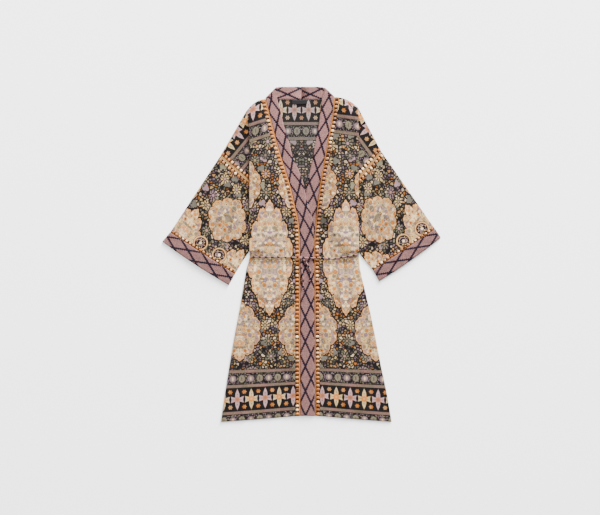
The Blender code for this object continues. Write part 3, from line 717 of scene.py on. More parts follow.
def print_maps(u, v, border, edging, centre, repeat_height, shift):
    """Maps of the printed cloth: the place on the cloth, the place in the layout's repeat, the depth in the
    border and the place along it, and the distances from and along the nearest seam that has an edging."""
    across = (u - centre[0]) / REPEAT_WIDTH + shift
    up = (v - centre[1]) / repeat_height + shift
    return {"print": pair(u, v), "layout": pair(across, up), "border": pair(*border), "edging": pair(*edging)}


# Pieces of cloth

def line_at(points, distance):
    """The line of points at a distance from a grid's first column, measured along each of its rows."""
    return np.stack([read_off(distance, run, row) for run, row in zip(run_length(points, 1), points)])


def front_cloth(name, side, mat):
    """A front, with the lines that its beads follow: beside the band seam, and beside the armhole seam."""
    rows = fine_front_rows(side)
    wide = side.band[1]
    reach = edge_out(side, wide.y) - side.sign * wide.seam_x
    n_body, n_drop = round(reach / GRID), FRONT_COUNTS[-1]
    points, keep = front_surface(side, rows, n_body)
    body = points[:, :n_body]
    t = np.linspace(0, 1, n_body)
    inset = smooth01(t / FRONT_RELIEF_FADE) * smooth01((1 - t) / FRONT_RELIEF_FADE)
    relief = crinkles(body[..., 0], body[..., 1]) + puckers(body[..., 0], body[..., 1], WAIST_Y)
    body[..., 2] = np.maximum(body[..., 2] + relief * inset, FRONT_LOWEST)
    start = side.sign * (points[:, :1, 0] - side.band[0].seam_x)
    from_band = run_length(points, 1)
    from_armhole = from_band[:, -1:] - from_band
    shown = rows >= side.underarm[1]
    band_line = line_at(points, BEAD_OFFSET)
    armhole_line = line_at(points[shown, ::-1], BEAD_OFFSET)
    along_armhole = np.zeros(len(rows))
    along_armhole[shown] = run_length(armhole_line[:, None], 0)[:, 0]
    by_armhole = shown[:, None] & (from_armhole < from_band)
    edging = (
        np.where(by_armhole, from_armhole, from_band),
        np.where(by_armhole, along_armhole[:, None], run_length(band_line[:, None], 0)),
    )
    u = from_band + start
    row_y = np.broadcast_to(rows[:, None], u.shape)
    v = row_y - HEM_Y
    inwards = edge_out(side, side.shoulder[1]) - side.sign * points[..., 0]
    stripe_y = side.shoulder[1] - side.stripe_drop + side.stripe_rise * inwards
    top = STRIPE_DEPTH + (stripe_y - points[..., 1]) * TOP_BORDER_SQUEEZE
    top_along = FLOWER_PITCH - inwards
    drop_depth, drop_along = dropped_border(side, points)
    dropped = np.arange(points.shape[1])[None, :] > points.shape[1] - n_drop - 1
    top, top_along = np.where(dropped, drop_depth, top), np.where(dropped, drop_along, top_along)
    hem = v - HEM_BORDER_START
    border = np.minimum(hem, top), np.where(hem < top, u, top_along)
    maps = both(print_maps(u, v, border, edging, FRONT_CENTRE, REPEAT_HEIGHT, 0.0))
    obj = cloth_piece(name, points, maps, mat, "printed_cloth", LOOK_CLOTH, keep)
    return band_line, armhole_line, line_at(points[shown, ::-1], PIPING_OFFSET)


def dropped_border(side, points):
    """Depth in the border and place along it on the dropped shoulder, where the print hangs askew: its upper
    stripe runs from the outer fold to the armhole seam, near the seam's top."""
    start = np.array([edge_out(side, side.shoulder[1]) * side.sign, side.shoulder[1] - DROPPED_STRIPE_FALL])
    end = np.array(shifted(side.armhole, side.underarm, DROPPED_STRIPE_SHIFT))
    along = (end - start) / np.hypot(*(end - start))
    away = points[..., :2] - start
    depth = STRIPE_DEPTH + side.sign * (away[..., 0] * along[1] - away[..., 1] * along[0])
    return depth, FLOWER_PITCH / 2 + away @ along


def fine_front_rows(side):
    """Rows about a grid step apart, closer where the tuck starts and stops."""
    low, under, top = TUCK_LOW_FULL, side.underarm[1], side.shoulder[1]
    spans = [
        (HEM_Y, TUCK_LOW_FLAT, GRID),
        (TUCK_LOW_FLAT, low, TUCK_GRID),
        (low, under, GRID),
        (under, top - TUCK_TOP_RAMP, GRID),
        (top - TUCK_TOP_RAMP, top, SHOULDER_GRID),
    ]
    pieces = [np.linspace(a, b, round((b - a) / step) + 1)[1:] for a, b, step in spans]
    return np.concatenate([[HEM_Y], *pieces])


def back_cloth(mat):
    """The back: rows across from the right outline to the left one, from hem to neckline."""
    fine_from = NECKLINE_Y - BACK_FINE_DEPTH
    low = np.linspace(HEM_Y + BACK_HEM_INSET, fine_from, BACK_ROWS[0])[:-1]
    y = np.concatenate([low, np.linspace(fine_from, NECKLINE_Y, BACK_ROWS[1])])
    t = np.linspace(-1, 1, BACK_COLUMNS)[None, :]
    left, right = back_reach(LEFT, y)[:, None], back_reach(RIGHT, y)[:, None]
    x = np.where(t > 0, t * left, t * right)
    rise = RIGHT.hem_rise * (1 - smooth01((y - HEM_Y) / HEM_REACH))[:, None] * (1 - abs(t)) ** HEM_POWER
    points = np.stack([x, y[:, None] + rise, np.full_like(x, BACK_Z)], axis=-1)
    u = abs(x)
    v = np.broadcast_to(y[:, None] - HEM_Y, u.shape)
    border = np.minimum(v - HEM_BORDER_START, NECKLINE_Y - y[:, None] - TOP_BORDER_START), u
    maps = both(print_maps(u, v, border, (NO_EDGING, v), BACK_CENTRE, REPEAT_HEIGHT, 0.0))
    obj = cloth_piece("back_cloth", points, maps, mat, "printed_cloth", CLOTH)


def back_reach(side, y):
    """Outward reach of the back's outline at each height: side seam, armhole and shoulder line."""
    fold_out = edge_out(side, FOLD_Y)
    share = (side.sign * side.armhole[0] - fold_out) / (side.sign * (side.armhole[0] - side.underarm[0]))
    notch_y = mix(side.armhole[1], side.underarm[1], share)
    neck_y = min(NECKLINE_Y, side.neck[1])
    run = np.clip((neck_y - y) / (neck_y - side.shoulder[1]), 0, 1) ** (1 / SHOULDER_POWER)
    shoulder = mix(side.sign * side.neck[0], side.sign * side.shoulder[0], run)
    side_seam = edge_out(side, np.minimum(y, FOLD_Y))
    armhole = np.interp(
        y,
        [notch_y, side.armhole[1], side.shoulder[1]],
        [fold_out, side.sign * side.armhole[0], side.sign * side.shoulder[0]],
    )
    return np.where(y < notch_y, side_seam, np.where(y < side.shoulder[1], armhole, shoulder))


def tube_maps(points, across, lower, roundel_centre):
    """Print maps of a flattened tube: u is the distance from its top fold, below zero on the lower wall. The
    border's depth counts back from the cuff, and both ends have an edging, narrower at the cuff."""
    n_cols = points.shape[1]
    v = run_length(points, 0)
    to_cuff = v[-1:] - v
    nxt = (np.arange(n_cols) + 1) % n_cols
    sign = np.where(lower, -1.0, 1.0)
    from_seam = np.minimum(v, to_cuff * BEAD_OFFSET / CUFF_BEAD_OFFSET)
    ends = []
    for columns in (np.arange(n_cols), nxt):
        u = across[:, columns] * sign
        edging = from_seam[:, columns], across[:, columns]
        border = ROUNDEL_START + to_cuff[:, columns], u - roundel_centre
        ends.append(print_maps(u, v[:, columns], border, edging, SLEEVE_CENTRE, SLEEVE_REPEAT_HEIGHT, -0.5))
    return {key: (ends[0][key], ends[1][key]) for key in ends[0]}


def tube_cloth(name, side, points, mat, slot, thickness):
    """A sleeve or cuff from its grid of rings. Returns its upper wall, one row for each place across."""
    half_arc = TUBE_ARC // 2
    lower = np.arange(points.shape[1]) < TUBE_ACROSS + half_arc
    lower[-half_arc:] = True
    across = np.linalg.norm(points[..., :2] - points[:, -1:, :2], axis=-1)
    maps = tube_maps(points, across, lower, side.roundel_centre)
    t = np.linspace(0, 1, len(points))[:, None]
    inset = np.minimum(smooth01(t / TUBE_RELIEF_FADE), smooth01((1 - t) / TUBE_RELIEF_FADE))
    inset = inset * np.sin(math.pi * np.clip(across / across.max(axis=1)[:, None], 0, 1)) ** 0.5
    relief = np.maximum(crinkles(points[..., 0], points[..., 1]), DEEPEST_CRINKLE) * inset
    points[..., 2] += np.where(lower, 0.0, relief)
    obj = cloth_piece(name, points, maps, mat, slot, thickness, closed=True)
    return points[:, ~lower][:, ::-1].swapaxes(0, 1)


def band_cloth(name, side, mat):
    """Half of the long band. Its face is rounded: it falls by the crown over a short way to both edges."""
    rows = fine_front_rows(side)
    points = band_surface(side, rows)
    middle = points[:, BAND_ACROSS // 2]
    along = run_length(middle[:, None], 0)
    t = run_length(points, 1)
    maps = both({"print": pair(along, t)})
    edge = np.minimum(t, t[:, -1:] - t)
    crown = BAND_CROWN * (smooth01(edge / BAND_ROUND) - 1.0)
    points[..., 2] = np.maximum(points[..., 2] + crown, BAND_CLOTH / 2)
    obj = cloth_piece(name, points, maps, mat, "trellis_band_cloth", BAND_CLOTH)


# Trim, tie and label

def at_even_steps(points, step, start=0.0):
    """Points a fixed distance apart along a line of points, and the line's direction at each."""
    run = run_length(points[:, None], 0)[:, 0]
    at = np.arange(start, run[-1], step)
    along = read_off(at + 1.0, run, points) - read_off(at - 1.0, run, points)
    return read_off(at, run, points), along / np.linalg.norm(along, axis=-1, keepdims=True)


def ball_template(n_round=10, n_up=6):
    """A closed unit ball: points on rings between two poles, and its triangles."""
    up = np.linspace(-math.pi / 2, math.pi / 2, n_up + 1)[1:-1, None]
    turn = np.linspace(0, 2 * math.pi, n_round, endpoint=False)[None, :]
    rings = np.stack([np.cos(up) * np.cos(turn), np.cos(up) * np.sin(turn), np.sin(up) + 0 * turn], axis=-1)
    points = np.concatenate([rings.reshape(-1, 3), [[0, 0, -1], [0, 0, 1]]])
    faces = []
    for j in range(n_up - 2):
        for i in range(n_round):
            a, b = j * n_round + i, j * n_round + (i + 1) % n_round
            faces += [(a, b, b + n_round), (a, b + n_round, a + n_round)]
    low, high, last = len(points) - 2, len(points) - 1, (n_up - 2) * n_round
    for i in range(n_round):
        k = (i + 1) % n_round
        faces += [(low, k, i), (high, last + i, last + k)]
    return points, np.array(faces)


def bead_mesh(name, places, along, sizes, tints):
    """Beads as one mesh: a ball stretched to each bead's length, width and height, turned along its seam."""
    ball, faces = ball_template()
    level = along * [1, 1, 0]
    level = level / np.linalg.norm(level, axis=-1, keepdims=True)
    aside = np.stack([-level[:, 1], level[:, 0], np.zeros(len(level))], axis=-1)
    upright = np.broadcast_to([0.0, 0.0, 1.0], level.shape)
    axes = np.stack([level, aside, upright], axis=1) * (sizes / 2)[..., None]
    points = places[:, None] + ball[None] @ axes
    all_faces = faces[None] + (np.arange(len(places)) * len(ball))[:, None, None]
    tint = np.repeat(tints, faces.size)
    return mesh_of(name, points.reshape(-1, 3), all_faces.reshape(-1, 3).tolist(), {"tint": pair(tint, tint)})


def in_view(side, places):
    """Whether places beside the armhole lie clear of the front's outer fold."""
    return side.sign * places[:, 0] > edge_out(side, places[:, 1]) + PETAL_BEAD[1] / 2


def bead_trim(name, rows, mat, rng):
    """Petal beads a pitch apart, in rows of (line, size, side, sparkle): sparkle is the share of clear ones.
    A row beside an armhole names its side, and keeps only the beads that show."""
    places, along, sizes, tints = [], [], [], []
    for line, size, side, sparkle in rows:
        spots, directions = at_even_steps(line, BEAD_PITCH, BEAD_PITCH / 2)
        clear = np.ones(len(spots), bool) if side is None else in_view(side, spots)
        spots, directions = spots[clear], directions[clear]
        n = len(spots)
        shift = rng.normal(0, BEAD_STRAY, (n, 3)) * [1, 1, 0]
        wave = np.sin(np.arange(n) * 0.37 + rng.uniform(0, 2 * math.pi)) * 0.18
        bright = rng.uniform(0, 1, n) + wave < sparkle
        places.append(spots + shift + [0, 0, LOOK_CLOTH / 2 + size[2] * BEAD_RISE])
        along.append(directions)
        sizes.append(np.array(size) * rng.uniform(0.72, 1.1, (n, 3)))
        tints.append(np.where(bright, rng.uniform(0.76, 1.0, n), rng.uniform(0.0, 0.6, n)))
    parts = (np.concatenate(group) for group in (places, along, sizes, tints))
    finished(bead_mesh(name, *parts), mat, "edging_thread")


def piping(name, line, side, mat):
    """A thin cord sewn down beside the armhole seam, where it shows."""
    line = line[in_view(side, line)] + [0, 0, LOOK_CLOTH / 2 + PIPING_DIAMETER * PIPING_RISE]
    path = rounded_route(line[::3], PIPING_STEP)
    finished(tube_mesh(name, path, PIPING_DIAMETER / 2, 8), mat, "edging_thread")


def tube_mesh(name, path, radius, n_round=12):
    """A round cord along a path, its ends closed by domes. Its UV map, "cord", gives the distance along and
    the turn around."""
    along = np.gradient(path, axis=0)
    along /= np.linalg.norm(along, axis=-1, keepdims=True)
    aside = np.cross(along, [0.0, 0.0, 1.0])
    aside /= np.linalg.norm(aside, axis=-1, keepdims=True)
    upright = np.cross(aside, along)
    turn = np.linspace(0, 2 * math.pi, n_round, endpoint=False)[None, :, None]
    ring = np.cos(turn) * aside[:, None] + np.sin(turn) * upright[:, None]
    dome = np.sin(np.linspace(0, math.pi / 2, 4)[1:])
    sink = 1 - np.cos(np.linspace(0, math.pi / 2, 4)[1:])
    reach = np.concatenate([dome, np.ones(len(path) - 2), dome[::-1]])
    centre = np.concatenate([
        path[0] + along[0] * (radius * sink[:, None]),
        path[1:-1],
        path[-1] - along[-1] * (radius * sink[::-1, None]),
    ])
    order = np.concatenate([[0] * 3, np.arange(1, len(path) - 1), [len(path) - 1] * 3])
    rings = centre[:, None] + ring[order] * (radius * reach)[:, None, None]
    points = np.concatenate([rings.reshape(-1, 3), [path[0], path[-1]]])
    n = len(rings)
    faces = grid_faces(n, n_round, True).reshape(-1, 4).tolist()
    last = (n - 1) * n_round
    steps = list(zip(range(n_round), [*range(1, n_round), 0]))
    faces += [(len(points) - 2, b, a) for a, b in steps]
    faces += [(len(points) - 1, last + a, last + b) for a, b in steps]
    run = run_length(centre[:, None], 0)
    spin = np.arange(n_round + 1) / n_round
    corners = corners_of(pair(run, spin[:-1]), pair(run, spin[1:]))
    ends = np.concatenate([np.zeros((n_round * 3, 2)), np.full((n_round * 3, 2), run[-1])])
    return mesh_of(name, points, faces, {"cord": np.concatenate([corners.reshape(-1, 2), ends])})


def tie_route(places):
    """The tie's centreline over the cloth below it, at an even step."""
    radius = TIE_DIAMETER / 2
    points = []
    for place in places:
        top = max(front_top_z(place.x, place.y + aside) for aside in (-radius, 0, radius))
        points.append((place.x, place.y, top + TIE_CLEARANCE + radius + place.lift))
    return rounded_route(points, TIE_STEP)


def tie_cord(name, places, node, mat):
    """One cord of the tie, in place of its node, with its length measured along its own centreline."""
    path = tie_route(places)
    obj = finished(tube_mesh(name, path, TIE_DIAMETER / 2), mat, "tie_cord", node)


def knot_piece(mat):
    """The knot: a cord along a three-lobed knot's path. Its x is sin t + 2 sin 2t, its y cos t - 2 cos 2t
    and its height -sin 3t, each scaled to the knot's size."""
    t = np.linspace(0, 2 * math.pi, KNOT_POINTS)
    x, y = KNOT_AT
    bottom = front_top_z(x, y) + TIE_CLEARANCE
    half = [(size - KNOT_STRAND) / 2 for size in KNOT_SIZE]
    path = np.stack([
        x + half[0] * (np.sin(t) + 2 * np.sin(2 * t)) / 3,
        y + half[1] * (np.cos(t) - 2 * np.cos(2 * t)) / 3,
        bottom + KNOT_SIZE[2] / 2 - half[2] * np.sin(3 * t),
    ], axis=-1)
    return finished(tube_mesh("tie_knot_loops", path, KNOT_STRAND / 2), mat, "tie_cord", "tie_knot")


def label_piece(mat):
    """The label: a small woven rectangle, its face bowed a little."""
    x0, x1 = LABEL_X
    x = np.linspace(x0, x1, LABEL_GRID[1])[None, :]
    y = np.linspace(LABEL_TOP_Y - LABEL_DEPTH, LABEL_TOP_Y, LABEL_GRID[0])[:, None]
    across = (x - x0) / (x1 - x0)
    arch = np.sin(math.pi * across)
    z = CLOTH + LABEL_GAP + LABEL_CLOTH / 2 + LABEL_BOW * arch
    points = np.stack(np.broadcast_arrays(x, y + LABEL_SAG * (0.5 - arch), z), axis=-1)
    maps = both({"print": pair(x - x0, y - LABEL_TOP_Y + LABEL_DEPTH)})
    obj = cloth_piece("label_cloth", points, maps, mat, "label_cloth", LABEL_CLOTH)


# Materials

def srgb(red, green, blue):
    """A colour as seen, 0 to 1, as the linear light that a shader takes."""
    parts = [c / 12.92 if c <= 0.04045 else ((c + 0.055) / 1.055) ** 2.4 for c in (red, green, blue)]
    return (*parts, 1.0)


INK = srgb(0.050, 0.039, 0.040)
CREAM = srgb(0.68, 0.57, 0.39)
PALE = srgb(0.75, 0.65, 0.53)
PEACH = srgb(0.64, 0.455, 0.28)
ORANGE = srgb(0.59, 0.34, 0.12)
OCHRE = srgb(0.43, 0.30, 0.15)
SAGE = srgb(0.39, 0.365, 0.29)
VIOLET = srgb(0.40, 0.335, 0.375)
AMBER_PEACH = srgb(0.63, 0.395, 0.19)
LILAC = srgb(0.45, 0.36, 0.37)
GREY = srgb(0.315, 0.295, 0.26)
BROWN = srgb(0.19, 0.145, 0.13)
STRIPE = srgb(0.255, 0.21, 0.185)
ROSE = srgb(0.38, 0.275, 0.25)
OLIVE = srgb(0.33, 0.285, 0.225)
MAUVE = srgb(0.37, 0.262, 0.255)
NAVY = srgb(0.05, 0.032, 0.075)
AMBER = srgb(0.54, 0.29, 0.07)
DARK_AMBER = srgb(0.13, 0.075, 0.05)
HONEY = srgb(0.54, 0.37, 0.22)
CLEAR = srgb(0.80, 0.70, 0.55)

# Tone of the petals in the dark ground against the same colours in the medallions
GROUND_TONE = 0.5

# Half width in millimetres over which a printed shape's edge fades
EDGE_SOFT = 0.3

# How far the print inside the back is turned to a darker grey: greyer for the cloth's wrong side, and darker
# as painted shade
INSIDE_GREY_AND_SHADE = 0.5


def maths(operation):
    """A method of Value that adds a Math node."""
    return lambda value, *others: value.math(operation, *others)


class Value:
    """A number in a material. The usual operators and the names below add Math nodes to it."""

    __add__ = __radd__ = maths("ADD")
    __sub__ = maths("SUBTRACT")
    __mul__ = __rmul__ = maths("MULTIPLY")
    __truediv__ = maths("DIVIDE")
    __pow__ = maths("POWER")
    __lt__ = maths("LESS_THAN")
    __gt__ = maths("GREATER_THAN")
    abs = maths("ABSOLUTE")
    frac = maths("FRACT")
    floor = maths("FLOOR")
    sin = maths("SINE")
    cos = maths("COSINE")
    root = maths("SQRT")
    most = maths("MAXIMUM")
    least = maths("MINIMUM")

    def __init__(self, shader, socket):
        self.shader = shader
        self.socket = socket

    def math(self, operation, *others):
        inputs = dict(enumerate((self, *others)))
        return self.shader.value("ShaderNodeMath", {"operation": operation}, inputs)

    def __rsub__(self, other):
        return self * -1.0 + other

    def step(self, low, high):
        """0 below low and 1 above high, or the other way round where low is the larger."""
        inputs = {"Value": self, "From Min": low, "From Max": high}
        return self.shader.value("ShaderNodeMapRange", {"clamp": True}, inputs)

    def under(self, limit, soft=EDGE_SOFT):
        """1 below a limit and 0 above it, with an edge that is soft by an amount on both sides."""
        return (self - limit).step(soft, -soft)


class Shader:
    """One material's nodes."""

    def __init__(self, name):
        self.material = bpy.data.materials.new(name)
        self.material.use_nodes = True
        self.tree = self.material.node_tree
        self.surface = self.tree.nodes["Principled BSDF"]

    def node(self, kind, settings=None, inputs=None):
        """A node with its settings made first, then its inputs given values or links."""
        node = self.tree.nodes.new(kind)
        for key, setting in (settings or {}).items():
            if key == "stops":
                self.set_stops(node.color_ramp, setting)
            else:
                setattr(node, key, setting)
        self.feed(node, inputs or {})
        return node

    def value(self, kind, settings=None, inputs=None, output=0):
        """A new node's output as a number."""
        return Value(self, self.node(kind, settings, inputs).outputs[output])

    def feed(self, node, inputs):
        for key, value in inputs.items():
            if isinstance(value, Value):
                value = value.socket
            if isinstance(value, bpy.types.NodeSocket):
                self.tree.links.new(value, node.inputs[key])
            else:
                node.inputs[key].default_value = value

    def set_stops(self, ramp, stops):
        """Even bands of colour, one for each stop."""
        ramp.interpolation = "CONSTANT"
        while len(ramp.elements) < len(stops):
            ramp.elements.new(1.0)
        for n, colour in enumerate(stops):
            ramp.elements[n].position = n / len(stops)
            ramp.elements[n].color = colour

    def place(self, map_name):
        """The x and y of a UV map as two numbers."""
        uv = self.node("ShaderNodeUVMap", {"uv_map": map_name}).outputs[0]
        parts = self.node("ShaderNodeSeparateXYZ", None, {0: uv})
        return Value(self, parts.outputs[0]), Value(self, parts.outputs[1])

    def vector(self, x, y):
        return self.node("ShaderNodeCombineXYZ", None, {0: x, 1: y}).outputs[0]

    def noise(self, x, y, size, detail=2.0):
        """Soft noise, 0 to 1, with lumps about a size across."""
        inputs = {"Vector": self.vector(x, y), "Scale": 1.0 / size, "Detail": detail, "Roughness": 0.55}
        return self.value("ShaderNodeTexNoise", {"noise_dimensions": "2D"}, inputs)

    def scatter(self, x, y, pitch, jitter):
        """Spots about a pitch apart: x and y from the nearest one in the cloth's millimetres, and its three
        random numbers."""
        scaled = {"Vector": self.vector(x, y), "Scale": 1.0 / pitch, "Randomness": jitter}
        node = self.node("ShaderNodeTexVoronoi", {"voronoi_dimensions": "2D"}, scaled)
        centre = self.node("ShaderNodeSeparateXYZ", None, {0: node.outputs["Position"]})
        parts = self.node("ShaderNodeSeparateColor", None, {0: node.outputs["Color"]})
        dx, dy = x - Value(self, centre.outputs[0]), y - Value(self, centre.outputs[1])
        return dx, dy, [Value(self, out) for out in parts.outputs[:3]]

    def mix(self, amount, a, b):
        """Colour b over colour a."""
        node = self.node("ShaderNodeMix", {"data_type": "RGBA"})
        self.feed(node, {0: amount, 6: a, 7: b})
        return node.outputs[2]

    def cells(self, x, y, pitch, jitter):
        """Cells about a pitch across: the distance in millimetres from the nearest edge between two."""
        scaled = {"Vector": self.vector(x, y), "Scale": 1.0 / pitch, "Randomness": jitter}
        settings = {"voronoi_dimensions": "2D", "feature": "DISTANCE_TO_EDGE"}
        return self.value("ShaderNodeTexVoronoi", settings, scaled, "Distance") * pitch

    def height(self):
        """Height above the floor in millimetres."""
        place = self.node("ShaderNodeTexCoord").outputs["Object"]
        return self.value("ShaderNodeSeparateXYZ", None, {0: place}, 2) * (1 / MM)

    def choose(self, number, colours):
        """One of the colours by a random number."""
        return self.node("ShaderNodeValToRGB", {"stops": colours}, {0: number}).outputs[0]

    def grey_of(self, colour):
        """The grey that is as bright as a colour."""
        inputs = {0: colour, 1: (0.21, 0.72, 0.07)}
        level = self.value("ShaderNodeVectorMath", {"operation": "DOT_PRODUCT"}, inputs, "Value")
        return self.shade(srgb(1.0, 0.98, 0.95)[:3], level)

    def shade(self, colour, amount):
        """A colour made lighter or darker by a number near 1."""
        node = self.node("ShaderNodeVectorMath", {"operation": "SCALE"}, {0: colour, 3: amount})
        return node.outputs[0]


def radius_of(x, y):
    """Distance from the origin of a pattern."""
    return (x * x + y * y).root()


def angle_of(x, y):
    """Angle about the origin of a pattern, from x towards y."""
    return y.math("ARCTAN2", x)


def flower(x, y, radius, petals, depth):
    """1 inside a flower whose edge is radius times 1 - depth + depth |cos(petals / 2 times the angle)|."""
    edge = radius * (1 - depth) + radius * depth * (angle_of(x, y) * (petals / 2)).cos().abs()
    return radius_of(x, y).under(edge, 0.35)


def weave_finish(s, x, y, colour, roughness, depth):
    """Fine crossed threads as bump and a little shade, uneven like crepe, and the cloth's soft sheen."""
    warp = (x * (2 * math.pi / THREAD)).sin()
    weft = (y * (2 * math.pi / THREAD)).sin()
    crinkle = s.noise(x, y, 5.0, 3.0)
    height = warp * weft * 0.5 + crinkle * 3.0
    bump = s.node("ShaderNodeBump", None, {"Strength": depth, "Distance": 0.0004, "Height": height})
    tone = s.noise(x, y, 60.0) * 0.16 + warp * weft * 0.04 + 0.93
    s.feed(s.surface, {
        "Base Color": s.shade(colour, tone),
        "Roughness": roughness,
        "Normal": bump.outputs[0],
        "Sheen Weight": 0.03,
        "Sheen Roughness": 0.4,
        "Specular IOR Level": 0.06,
    })
    return s.material


def millefleur(s, x, y):
    """The dark floral ground: pebble petals between thin dark lines, with daisies and broad leaves."""
    warp = (s.noise(x, y, 13.0, 1.0) - 0.5) * 5.0
    px, py = x + warp, y - warp
    edge = s.cells(px, py, PEBBLE_PITCH, 0.95)
    dx, dy, rnd = s.scatter(px, py, PEBBLE_PITCH, 0.95)
    pebble = (edge - 1.7).step(-0.35, 0.35) * (rnd[2] > 0.06)
    tones = [CREAM, LILAC, SAGE, PALE, PEACH, PALE, GREY, VIOLET, CREAM, LILAC, SAGE, ORANGE]
    petal = s.choose(rnd[1], tones)
    colour = s.mix(pebble, INK, s.shade(petal, rnd[0] * 0.5 + (GROUND_TONE - 0.27)))
    eye = radius_of(dx, dy).under(0.95, 0.2) * (rnd[0] > 0.5)
    colour = s.mix(eye, colour, s.choose(rnd[2], [INK, OCHRE]))
    dx, dy, rnd = s.scatter(x, y, 46.0, 0.6)
    leaf = flower(dx, dy, 11.5, 3, 0.42) * (rnd[0] > 0.35)
    colour = s.mix(flower(dx, dy, 13.0, 3, 0.42) * (rnd[0] > 0.35), colour, INK)
    veins = (angle_of(dx, dy) * 9.0).sin().abs().under(0.30, 0.1) * 0.55
    colour = s.mix(leaf, colour, s.mix(veins, s.choose(rnd[1], [GREY, LILAC, SAGE, GREY]), INK))
    dx, dy, rnd = s.scatter(x + 17.0, y + 9.0, 49.0, 0.55)
    r = radius_of(dx, dy)
    colour = s.mix(r.under(12.8, 0.5) * 0.85, colour, INK)
    turn = (angle_of(dx, dy) * 4.0).cos().abs()
    petals = (turn - 0.66).step(-0.1, 0.1) * (r - 9.2).abs().under(3.4)
    tones = [CREAM, SAGE, LILAC, PEACH, GREY]
    colour = s.mix(petals, colour, s.shade(s.choose(rnd[1], tones), GROUND_TONE + 0.2))
    colour = s.mix(r.under(4.2), colour, s.choose(rnd[2], [GREY, SAGE, LILAC]))
    return s.mix(r.under(1.6), colour, ORANGE)


def medallion_field(s, x, y, depth, turn, tones):
    """The busy filling of a medallion, for x measured from its upright axis so that both halves mirror:
    scalloped rings in four tones from the rim to the heart, and over them petals and small blossoms."""
    wave = (s.noise(x, y, 14.0) - 0.5) * 0.10
    colour = tones[0]
    for tone, reach, petals in zip(tones[1:], (0.80, 0.56, 0.30), (15.0, 10.0, 6.0)):
        scallop = (turn * petals).sin().abs() ** 0.6 * 0.16 + 0.84
        past = depth + wave - scallop * reach
        colour = s.mix(past.step(0.02, -0.02), colour, tone)
        colour = s.mix(past.abs().under(0.020, 0.008) * 0.9, colour, CREAM)
        colour = s.mix((past - 0.045).abs().under(0.014, 0.008) * 0.7, colour, BROWN)
    edge = s.cells(x, y, PETAL_PITCH, 1.0)
    dx, dy, rnd = s.scatter(x, y, PETAL_PITCH, 1.0)
    petal_tones = [CREAM, VIOLET, PEACH, GREY, PALE, ORANGE, LILAC, SAGE, CREAM, VIOLET, PALE, OCHRE]
    petal = s.choose(rnd[1], petal_tones)
    colour = s.mix(rnd[0] * 0.5 + 0.5, colour, petal)
    colour = s.mix(edge.under(0.8) * 0.5, colour, CREAM)
    colour = s.mix(edge.under(0.9) * (rnd[2] > 0.6) * 0.8, colour, BROWN)
    spot = (radius_of(dx, dy) - rnd[2] * 1.3).under(0.4) * (rnd[0] > 0.25)
    colour = s.mix(spot * 0.9, colour, s.choose(rnd[0], [BROWN, OCHRE, BROWN, VIOLET, ORANGE]))
    dx, dy, rnd = s.scatter(x, y, 21.0, 0.8)
    r = radius_of(dx, dy)
    show = rnd[0] > 0.35
    colour = s.mix((r - 7.6).abs().under(0.8) * show * 0.8, colour, CREAM)
    colour = s.mix(flower(dx, dy, 6.6, 5, 0.4) * show * 0.6, colour, BROWN)
    bloom = s.choose(rnd[1], [ORANGE, PEACH, VIOLET, ORANGE, CREAM, SAGE])
    colour = s.mix(flower(dx, dy, 5.8, 5, 0.45) * show, colour, bloom)
    colour = s.mix(r.under(2.2) * show, colour, s.choose(rnd[2], [OCHRE, BROWN, ORANGE]))
    return s.mix((depth - 0.965).step(-0.006, 0.006), colour, PEACH)


def medallion(s, across, up, y, size, lobes, tones, tone, ground):
    """One scalloped medallion over the ground, inside a dark line. across and up are in repeats from its
    centre, size is its half width and half height in repeats, and tone is its brightness."""
    wander = (s.noise(across * REPEAT_WIDTH, y, 18.0) - 0.5) * 0.02
    a, b = (across + wander).abs() / size[0], up.abs() / size[1]
    turn = angle_of(a, b)
    depth = medallion_depth(a, b, turn, lobes)
    field = medallion_field(s, across.abs() * REPEAT_WIDTH, y, depth, turn, tones)
    colour = s.mix(depth.step(1.05, 1.035), ground, INK)
    return s.mix(depth.step(1.0, 0.988), colour, s.shade(field, tone))


def medallion_depth(a, b, turn, lobes):
    """1 at a medallion's edge and 0 at its centre: large lobes, each cut into small scallops."""
    plain = (a**1.55 + b**1.55) ** (1 / 1.55)
    scallop = (turn * lobes).sin().abs() ** 0.7 * 0.13 + 0.84
    return plain / (scallop + (turn * (lobes * 3.0)).sin().abs() * 0.03)


def in_repeat(u, pitch):
    """The place along from the middle of its repeat, and 1 in every second repeat."""
    repeat = u / pitch
    return (repeat.frac() - 0.5) * pitch, (repeat.floor() * 0.5).frac() > 0.25


def nearest(h, rows):
    """Distance from a depth to the nearest of some rows."""
    gaps = [(h - row).abs() for row in rows]
    return reduce(Value.least, gaps)


